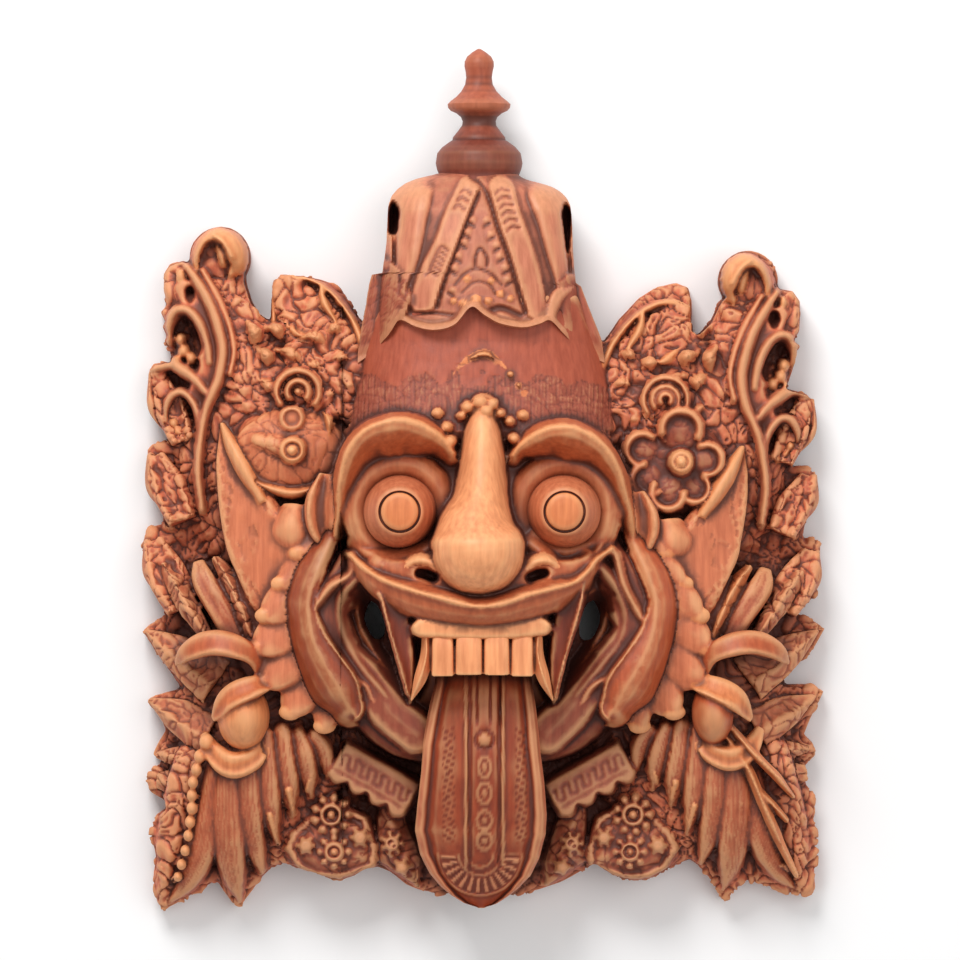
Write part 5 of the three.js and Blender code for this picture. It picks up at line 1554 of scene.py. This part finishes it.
def carveCrown():
    carveCrownPattern(crownLift)
    block = Block()
    block.limb([(-1, 52, 24), (-1, 158, 24)], [2], [1], sinks=[18], section="flat", tone="crown", polish=0.5,
               blank="crown")
    points, corners, starts, marks = block.shapes[0][:4]
    share = np.clip(points[:, 0] + 1, -1, 1)
    y = points[:, 1].copy()
    lip = curveThrough(crown["lip"], np.linspace(0, 1, 90))

    def halfWidth(y):
        outlines = [np.array(crown[name], float).T for name in ("left", "right")]
        return np.where(share < 0, *[np.interp(y, *outline) for outline in outlines])

    # the lower edge follows the wavy lip
    half = halfWidth(y)
    for _ in range(2):
        x = share * half - 1
        newY = y + (np.interp(x, lip[:, 0], lip[:, 1]) - 52) * (1 - smoothStep(52, 104, y))
        half = halfWidth(newY)
    points[:, 0], points[:, 1] = x, newY
    rise = np.interp(newY, [p[0] for p in crown["rise"]], [p[1] for p in crown["rise"]])
    top = points[:, 2] > 23.9
    body = np.minimum(half, np.where(share < 0, np.interp(newY, [52, 104.5], [54, 48.8]),
                                     np.interp(newY, [52, 99], [54, 47.8])))
    dome = rise * np.sqrt(1 - 0.86 * np.clip(np.abs(x + 1) / body, 0, 1) ** 2.3)
    lift = crownLift.at(crownLift.z, x, newY)
    height = 24 + dome + lift
    # the first rings run down into the hat, and the side walls stay plain
    foot = smoothStep(52, 53.4, y)
    points[:, 2] = np.where(top, 14 + (height - 14) * foot, np.maximum(points[:, 2], 4))
    nearest = (np.clip(np.round((newY - crownLift.low[1]) / crownLift.cell), 0, crownLift.rows - 1) *
               crownLift.columns + np.clip(np.round((x - crownLift.low[0]) / crownLift.cell), 0,
                                           crownLift.columns - 1)).astype(int)
    marks[0][:] = crownLift.tint[nearest]
    marks[1][:] = crownLift.finish[nearest]
    marks[2][:] = crownLift.place[nearest]
    block.shapes[0] = (points, corners, starts, marks, True)
    return singlePiece("crown", block)


crownPiece = carveCrown()

print("finial")
finialProfile = [
    (0, -6), (19, -6), (20.5, -1), (20, 4), (21.2, 7), (21.8, 10), (21, 15), (18.5, 18), (15, 20.6),
    (13.4, 21.6), (13.2, 23), (10.5, 26.5), (8.7, 29), (8.4, 31), (9.2, 33), (11.5, 35), (14.2, 36.2),
    (15.6, 37.8), (15.8, 39.6), (14.2, 41.2), (11.5, 43.2), (8.8, 46), (6.9, 49.5), (6.4, 53), (6.8, 56),
    (7.4, 58.6), (7.3, 61), (6, 63.5), (3.4, 65.6), (0.8, 67.2), (0, 67.4),
]


def turnedPiece(name, profile, steps, centre, axis, tone, polish):
    # a profile of (radius, distance) turned round an axis
    deselectAll()
    bpy.ops.mesh.primitive_circle_add(vertices=len(profile), fill_type="NOTHING")
    line = bpy.context.object
    bpy.ops.object.mode_set(mode="EDIT")
    bpy.ops.mesh.select_all(action="DESELECT")
    bpy.ops.object.mode_set(mode="OBJECT")
    for vertex, (radius, distance) in zip(line.data.vertices, profile):
        vertex.co = (radius, 0, distance)
    for edge in line.data.edges:
        edge.select = {edge.vertices[0], edge.vertices[1]} == {0, len(profile) - 1}
    bpy.ops.object.mode_set(mode="EDIT")
    bpy.ops.mesh.select_mode(type="EDGE")
    bpy.ops.mesh.delete(type="EDGE")
    bpy.ops.mesh.select_all(action="SELECT")
    bpy.ops.mesh.spin(steps=steps, angle=2 * math.pi, center=(0, 0, 0), axis=(0, 0, 1))
    bpy.ops.mesh.select_all(action="SELECT")
    bpy.ops.mesh.remove_doubles(threshold=0.001)
    bpy.ops.mesh.normals_make_consistent(inside=False)
    bpy.ops.object.mode_set(mode="OBJECT")
    points, corners, starts = takeShape(line)
    if axis == "y":
        # turned by a quarter, so that its length runs towards the top of the mask
        points = np.column_stack([points[:, 0], points[:, 2], -points[:, 1]])
    points = points + centre
    piece = makePiece(name, (points, corners, starts))
    writeMark(piece, "tint", "FLOAT_VECTOR", np.tile(linearTone(tone), (len(points), 1)))
    writeMark(piece, "finish", "FLOAT_VECTOR", np.tile((polish, 0, 0), (len(points), 1)))
    writeMark(piece, "place", "FLOAT_VECTOR", np.zeros((len(points), 3)))
    return piece


def denserProfile(profile, step):
    profile = np.array(profile, float)
    out = [profile[0]]
    for a, b in zip(profile[:-1], profile[1:]):
        pieces = max(1, int(np.linalg.norm(b - a) / step))
        out += [a + (b - a) * (i + 1) / pieces for i in range(pieces)]
    return [tuple(p) for p in out]


finial = turnedPiece("finial", denserProfile(finialProfile, 1.2), 72, (-1.5, 150, 25), "y", "finial", 0.7)
finialPoints, _, _ = readShape(finial)
footShare = 1 - smoothStep(172, 184, finialPoints[:, 1])
plainTint, footTint = np.array(linearTone("finial")), np.array(linearTone("finialFoot"))
writeMark(finial, "tint", "FLOAT_VECTOR", plainTint + footShare[:, None] * (footTint - plainTint))

print("eyes and teeth")
eyeProfile = [
    (0, 74), (18.2, 74), (18.2, 82), (17.6, 87), (16.4, 92.4), (14.4, 97.2), (12.2, 100.8), (11.1, 102),
    (10.5, 102.1), (10.1, 99), (9.5, 99), (9.2, 102.9), (8.7, 103.7), (7.4, 104.3), (4, 104.9), (0, 105),
]
eyes = [turnedPiece("eye_left" if side < 0 else "eye_right", denserProfile(eyeProfile, 0.9), 84,
                    (40.6 * side, -14.6, 0), "z", "eye", 0.65) for side in (-1, 1)]
for eye, side in zip(eyes, (-1, 1)):
    eyePoints, _, _ = readShape(eye)
    pupil = np.hypot(eyePoints[:, 0] - 40.6 * side, eyePoints[:, 1] + 14.6) < 9.8
    writeMark(eye, "tint", "FLOAT_VECTOR", np.where(pupil[:, None], linearTone("disc"), linearTone("eye")))


def carveTeeth():
    edges = [-25.2, -13.5, 0.5, 13.9, 25.6]
    parts = Block()
    for low, high in zip(edges[:-1], edges[1:]):
        middle, width = (low + high) / 2, high - low - 0.7
        front = 106 - abs(middle) * 0.14
        bottom = -94 - abs(middle) * 0.05
        parts.limb([(middle, bottom, front - 9), (middle, -82, front - 8), (middle, -74, front - 9)],
                   [width, width, width - 0.6], [8.2, 8.4, 7.4], sinks=[14, 16, 16],
                   section=[0.82, 0.97, 1, 1, 1, 1, 1, 0.97, 0.82], tone="tooth", polish=0.7)
    for side in (-1, 1):
        # fangs: a thin outer tooth that runs down to a point
        parts.limb([(27.5 * side, -76, 94), (27.6 * side, -86, 94), (30.5 * side, -97, 93),
                    (35 * side, -108, 90)], [4.6, 6, 6, 0.8], [8, 8, 6, 1], sinks=[12, 12, 8, 2],
                   section="ridge", tone="tooth", polish=0.7)
    return parts.joined("teeth", 0.5, floor=-99)


teeth = carveTeeth()
softened(teeth, 1)
carveGrain(tonguePiece, 21, 0.5)
carveGrain(crownPiece, 31, 0.6)
carveGrain(finial, 41, 0.5)
for eye in eyes:
    carveGrain(eye, 51, 0.5)
carveGrain(teeth, 61, 0.5)

print("wearAndPaintedLight")
pieces = [carving, tonguePiece, crownPiece, finial, teeth] + eyes
heights = heightMap(pieces)
deepMap, wideMap = boxBlur(heights, 3), boxBlur(heights, 9)
fine = 4
for piece, wearAndHighlight in ((carving, 1), (tonguePiece, 0.8), (crownPiece, 0.55), (teeth, 1)):
    writeWearAndPaintedLight(piece, deepMap, wideMap, wearAndHighlight, fine)
for piece, wearAndHighlight in ((finial, 0.15), (eyes[0], 0.6), (eyes[1], 0.6)):
    writeWearAndPaintedLight(piece, deepMap, wideMap, wearAndHighlight)


def reduced(piece, triangles):
    # fewer faces where the surface is plain
    corners = len(piece.data.loops) - 2 * len(piece.data.polygons)
    if corners <= triangles:
        return
    makeActive(piece)
    fewer = piece.modifiers.new("fewer", "DECIMATE")
    fewer.ratio = triangles / corners
    bpy.ops.object.modifier_apply(modifier=fewer.name)


reduced(carving, detail["blockTriangles"])
print("carving", len(carving.data.vertices), len(carving.data.polygons))


def closeCut(piece, point, way):
    # turns the new faces that close a cut outward and remembers them as flat
    mesh = piece.data
    points, corners, starts = readShape(piece)
    height = (points - point) @ np.array(way, float)
    flat = np.logical_and.reduceat(np.abs(height[corners]) < 0.002, starts)
    outward = np.array(way, float) * (-1 if height.sum() > 0 else 1)
    normals = np.empty(len(mesh.polygons) * 3)
    mesh.polygons.foreach_get("normal", normals)
    shape = bmesh.new()
    shape.from_mesh(mesh)
    shape.faces.ensure_lookup_table()
    for wrong in np.flatnonzero(flat & (normals.reshape(-1, 3) @ outward < 0)):
        shape.faces[wrong].normal_flip()
    shape.to_mesh(mesh)
    shape.free()
    if "cap" not in mesh.attributes:
        mesh.attributes.new("cap", "BOOLEAN", "FACE")
    cap = np.empty(len(mesh.polygons), bool)
    mesh.attributes["cap"].data.foreach_get("value", cap)
    mesh.attributes["cap"].data.foreach_set("value", cap | flat)


def shadeAcrossCuts(piece):
    # every point is shaded as it was before the parting, and the flat faces of a cut are shaded flat
    mesh = piece.data
    cap = np.empty(len(mesh.polygons), bool)
    mesh.attributes["cap"].data.foreach_get("value", cap)
    totals = np.empty(len(mesh.polygons), dtype=np.int32)
    mesh.polygons.foreach_get("loop_total", totals)
    normals = np.empty(len(mesh.polygons) * 3)
    mesh.polygons.foreach_get("normal", normals)
    corners = np.empty(len(mesh.loops), dtype=np.int32)
    mesh.loops.foreach_get("vertex_index", corners)
    shade = readMark(piece, "shade")[corners]
    shade /= np.maximum(np.linalg.norm(shade, axis=1), 1e-6)[:, None]
    shade = np.where(np.repeat(cap, totals)[:, None], np.repeat(normals.reshape(-1, 3), totals, axis=0),
                     shade)
    mesh.polygons.foreach_set("use_smooth", np.ones(len(mesh.polygons), bool))
    mesh.normals_split_custom_set(shade.tolist())
    for label in ("cap", "shade"):
        mesh.attributes.remove(mesh.attributes[label])


def partedAt(piece, planes):
    # cut by flat planes into closed pieces: each plane is a point and a direction
    parts = [piece]
    for point, way in planes:
        halves = []
        for part in parts:
            twin = part.copy()
            twin.data = part.data.copy()
            bpy.context.collection.objects.link(twin)
            for half, inner in ((part, True), (twin, False)):
                makeActive(half)
                bpy.ops.object.mode_set(mode="EDIT")
                bpy.ops.mesh.select_all(action="SELECT")
                bpy.ops.mesh.bisect(plane_co=point, plane_no=way, clear_inner=inner, clear_outer=not inner)
                bpy.ops.mesh.fill(use_beauty=False)
                bpy.ops.object.mode_set(mode="OBJECT")
                closeCut(half, point, way)
            halves += [part, twin]
        parts = [h for h in halves if len(h.data.polygons)]
    return parts


print("parting")
writeMark(carving, "shade", "FLOAT_VECTOR", pointNormals(carving))
cuts = {"right": (70, 0, 0), "left": (-70, 0, 0), "across": (0, -55, 0)}
rightBlock, rest = partedAt(carving, [(cuts["right"], (1, 0, 0))])
middleBlock, leftBlock = partedAt(rest, [(cuts["left"], (1, 0, 0))])
acrossWing = [(cuts["across"], (0, 1, 0))]
parts = partedAt(rightBlock, acrossWing) + [middleBlock] + partedAt(leftBlock, acrossWing)
partNames = ["wing_right_upper", "wing_right_lower", "face_middle", "wing_left_upper", "wing_left_lower"]
for part, name in zip(parts, partNames):
    part.name = name
    print(name, len(part.data.polygons))
pieces = parts + pieces[1:]

print("material")


def nodeGroup(name, inputs, outputs):
    group = bpy.data.node_groups.new(name, "ShaderNodeTree")
    for label, kind, value in inputs:
        socket = group.interface.new_socket(name=label, in_out="INPUT", socket_type=kind)
        if value is not None:
            socket.default_value = value
    for label, kind in outputs:
        group.interface.new_socket(name=label, in_out="OUTPUT", socket_type=kind)
    return group, group.nodes.new("NodeGroupInput"), group.nodes.new("NodeGroupOutput")


def mathNode(tree, operation, *values):
    node = tree.nodes.new("ShaderNodeMath")
    node.operation = operation
    for socket, value in zip(node.inputs, values):
        if hasattr(value, "is_output"):
            tree.links.new(value, socket)
        else:
            socket.default_value = value
    return node.outputs[0]


def mixColour(tree, kind, factor, first, second):
    node = tree.nodes.new("ShaderNodeMix")
    node.data_type = "RGBA"
    node.blend_type = kind
    for socket, value in zip((node.inputs[0], node.inputs[6], node.inputs[7]), (factor, first, second)):
        if hasattr(value, "is_output"):
            tree.links.new(value, socket)
        else:
            socket.default_value = value if not isinstance(value, tuple) else (*value, 1)
    return node.outputs[2]


def grainGroup():
    # wood grain that runs the length of the mask: a streak mask, a soft patch mask and a height for the bump
    group, given, out = nodeGroup("woodGrain", [("Vector", "NodeSocketVector", None)],
                                  [("Streak", "NodeSocketFloat"), ("Patch", "NodeSocketFloat"),
                                   ("Height", "NodeSocketFloat")])
    stretch = group.nodes.new("ShaderNodeMapping")
    stretch.inputs["Scale"].default_value = (420, 30, 420)
    group.links.new(given.outputs[0], stretch.inputs["Vector"])
    streak = group.nodes.new("ShaderNodeTexNoise")
    streak.inputs["Scale"].default_value = 1
    streak.inputs["Detail"].default_value = 4
    group.links.new(stretch.outputs[0], streak.inputs["Vector"])
    patch = group.nodes.new("ShaderNodeTexNoise")
    patch.inputs["Scale"].default_value = 26
    patch.inputs["Detail"].default_value = 3
    group.links.new(given.outputs[0], patch.inputs["Vector"])
    fine = group.nodes.new("ShaderNodeTexNoise")
    fine.inputs["Scale"].default_value = 700
    fine.inputs["Detail"].default_value = 2
    group.links.new(given.outputs[0], fine.inputs["Vector"])
    height = mathNode(group, "ADD", mathNode(group, "MULTIPLY", streak.outputs["Fac"], 0.6),
                      mathNode(group, "MULTIPLY", fine.outputs["Fac"], 0.4))
    group.links.new(streak.outputs["Fac"], out.inputs["Streak"])
    group.links.new(patch.outputs["Fac"], out.inputs["Patch"])
    group.links.new(height, out.inputs["Height"])
    return group


def carvedWood():
    material = bpy.data.materials.new("carvedWood")
    material.use_nodes = True
    tree = material.node_tree
    shader = tree.nodes["Principled BSDF"]
    place = tree.nodes.new("ShaderNodeTexCoord")
    grain = tree.nodes.new("ShaderNodeGroup")
    grain.node_tree = grainGroup()
    tree.links.new(place.outputs["Object"], grain.inputs[0])
    marks = {}
    for label in ("tint", "finish", "wearAndPaintedLight"):
        marks[label] = tree.nodes.new("ShaderNodeAttribute")
        marks[label].attribute_name = label
    wearAndPaintedLight = tree.nodes.new("ShaderNodeSeparateXYZ")
    tree.links.new(marks["wearAndPaintedLight"].outputs["Vector"], wearAndPaintedLight.inputs[0])
    finish = tree.nodes.new("ShaderNodeSeparateXYZ")
    tree.links.new(marks["finish"].outputs["Vector"], finish.inputs[0])
    stainAndPaintedShade, edge = wearAndPaintedLight.outputs[0], wearAndPaintedLight.outputs[1]
    polish = finish.outputs[0]
    tone = mixColour(tree, "MULTIPLY", 1.0, marks["tint"].outputs["Color"], (1.27, 0.95, 0.76))
    darker = mixColour(tree, "MULTIPLY", 1.0, tone, (0.7, 0.6, 0.56))
    streaky = mathNode(tree, "MULTIPLY", mathNode(tree, "SUBTRACT", grain.outputs["Streak"], 0.42), 2.2)
    streaky = mathNode(tree, "ADD", streaky, mathNode(tree, "MULTIPLY", polish, 0.45))
    wood = mixColour(tree, "MIX", streaky, darker, tone)
    patchy = mathNode(tree, "MULTIPLY", mathNode(tree, "SUBTRACT", grain.outputs["Patch"], 0.45), 2.0)
    wood = mixColour(tree, "MIX", patchy, mixColour(tree, "MULTIPLY", 1.0, wood, (0.88, 0.84, 0.86)), wood)
    # convex edges lightened towards gold: painted highlight, with some rubbed wear
    wearAndHighlight = mathNode(tree, "MULTIPLY", edge, 0.42)
    wood = mixColour(tree, "MIX", wearAndHighlight, wood, (0.88, 0.5, 0.23))
    # cuts and hollows darkened towards near black: painted shade, with some dark stain
    shadeAndStainMix = mathNode(tree, "MULTIPLY", mathNode(tree, "POWER", stainAndPaintedShade, 0.8), 0.93)
    wood = mixColour(tree, "MIX", shadeAndStainMix, wood, (0.07, 0.02, 0.014))
    tree.links.new(wood, shader.inputs["Base Color"])
    rough = mathNode(tree, "ADD", mathNode(tree, "MULTIPLY", polish, -0.28), 0.66)
    rough = mathNode(tree, "ADD", rough, mathNode(tree, "MULTIPLY", grain.outputs["Streak"], 0.12))
    tree.links.new(rough, shader.inputs["Roughness"])
    shader.inputs["Specular IOR Level"].default_value = 0.42
    bump = tree.nodes.new("ShaderNodeBump")
    bump.inputs["Strength"].default_value = 0.35
    bump.inputs["Distance"].default_value = 0.0004
    tree.links.new(grain.outputs["Height"], bump.inputs["Height"])
    tree.links.new(bump.outputs[0], shader.inputs["Normal"])
    return material


wood = carvedWood()
for piece in pieces:
    points, _, _ = readShape(piece)
    points = (points + (drawing["middleX"], drawing["middleY"], 0)) * drawing["unit"]
    writePoints(piece, points)
    if piece in parts:
        shadeAcrossCuts(piece)
    else:
        makeActive(piece)
        bpy.ops.object.shade_smooth_by_angle(angle=math.radians(48))
    piece.data.materials.append(wood)
    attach(piece, "root")
    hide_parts("mask_carving")

print("stage")


def plainMaterial(name, colour, roughness):
    material = bpy.data.materials.new(name)
    material.use_nodes = True
    shader = material.node_tree.nodes["Principled BSDF"]
    shader.inputs["Base Color"].default_value = (*colour, 1)
    shader.inputs["Roughness"].default_value = roughness
    return material


studio = {"cameraHeight": 4.0, "lens": 297, "aim": (-0.0009, 0.0016), "floor": 6.0}
deselectAll()
bpy.ops.mesh.primitive_plane_add(size=studio["floor"], location=(0, 0, 0))
floor = bpy.context.object
floor.name = "floor"
floor.data.materials.append(plainMaterial("paleFloor", (0.93, 0.93, 0.93), 0.9))


def addLight(name, place, aim, size, power):
    bpy.ops.object.light_add(type="AREA", location=place)
    light = bpy.context.object
    light.name = name
    light.data.shape = "SQUARE"
    light.data.size = size
    light.data.energy = power
    way = Vector(aim) - Vector(place)
    light.rotation_euler = way.to_track_quat("-Z", "Y").to_euler()
    return light


addLight("keyLight", (-0.5, 1.5, 1.5), (0, 0, 0.05), 0.9, 34)
addLight("fillLight", (0.9, 0.2, 2.2), (0, 0, 0.05), 1.6, 12)
world = bpy.context.scene.world or bpy.data.worlds.new("World")
bpy.context.scene.world = world
world.use_nodes = True
world.node_tree.nodes["Background"].inputs["Color"].default_value = (1, 1, 1, 1)
world.node_tree.nodes["Background"].inputs["Strength"].default_value = 0.55
bpy.context.scene.view_settings.view_transform = "Standard"

bpy.ops.object.camera_add(location=(studio["aim"][0], studio["aim"][1], studio["cameraHeight"]),
                          rotation=(0, 0, 0))
camera = bpy.context.object
camera.data.lens = studio["lens"]
camera.data.sensor_width = 36
camera.data.clip_end = 20
bpy.context.scene.camera = camera
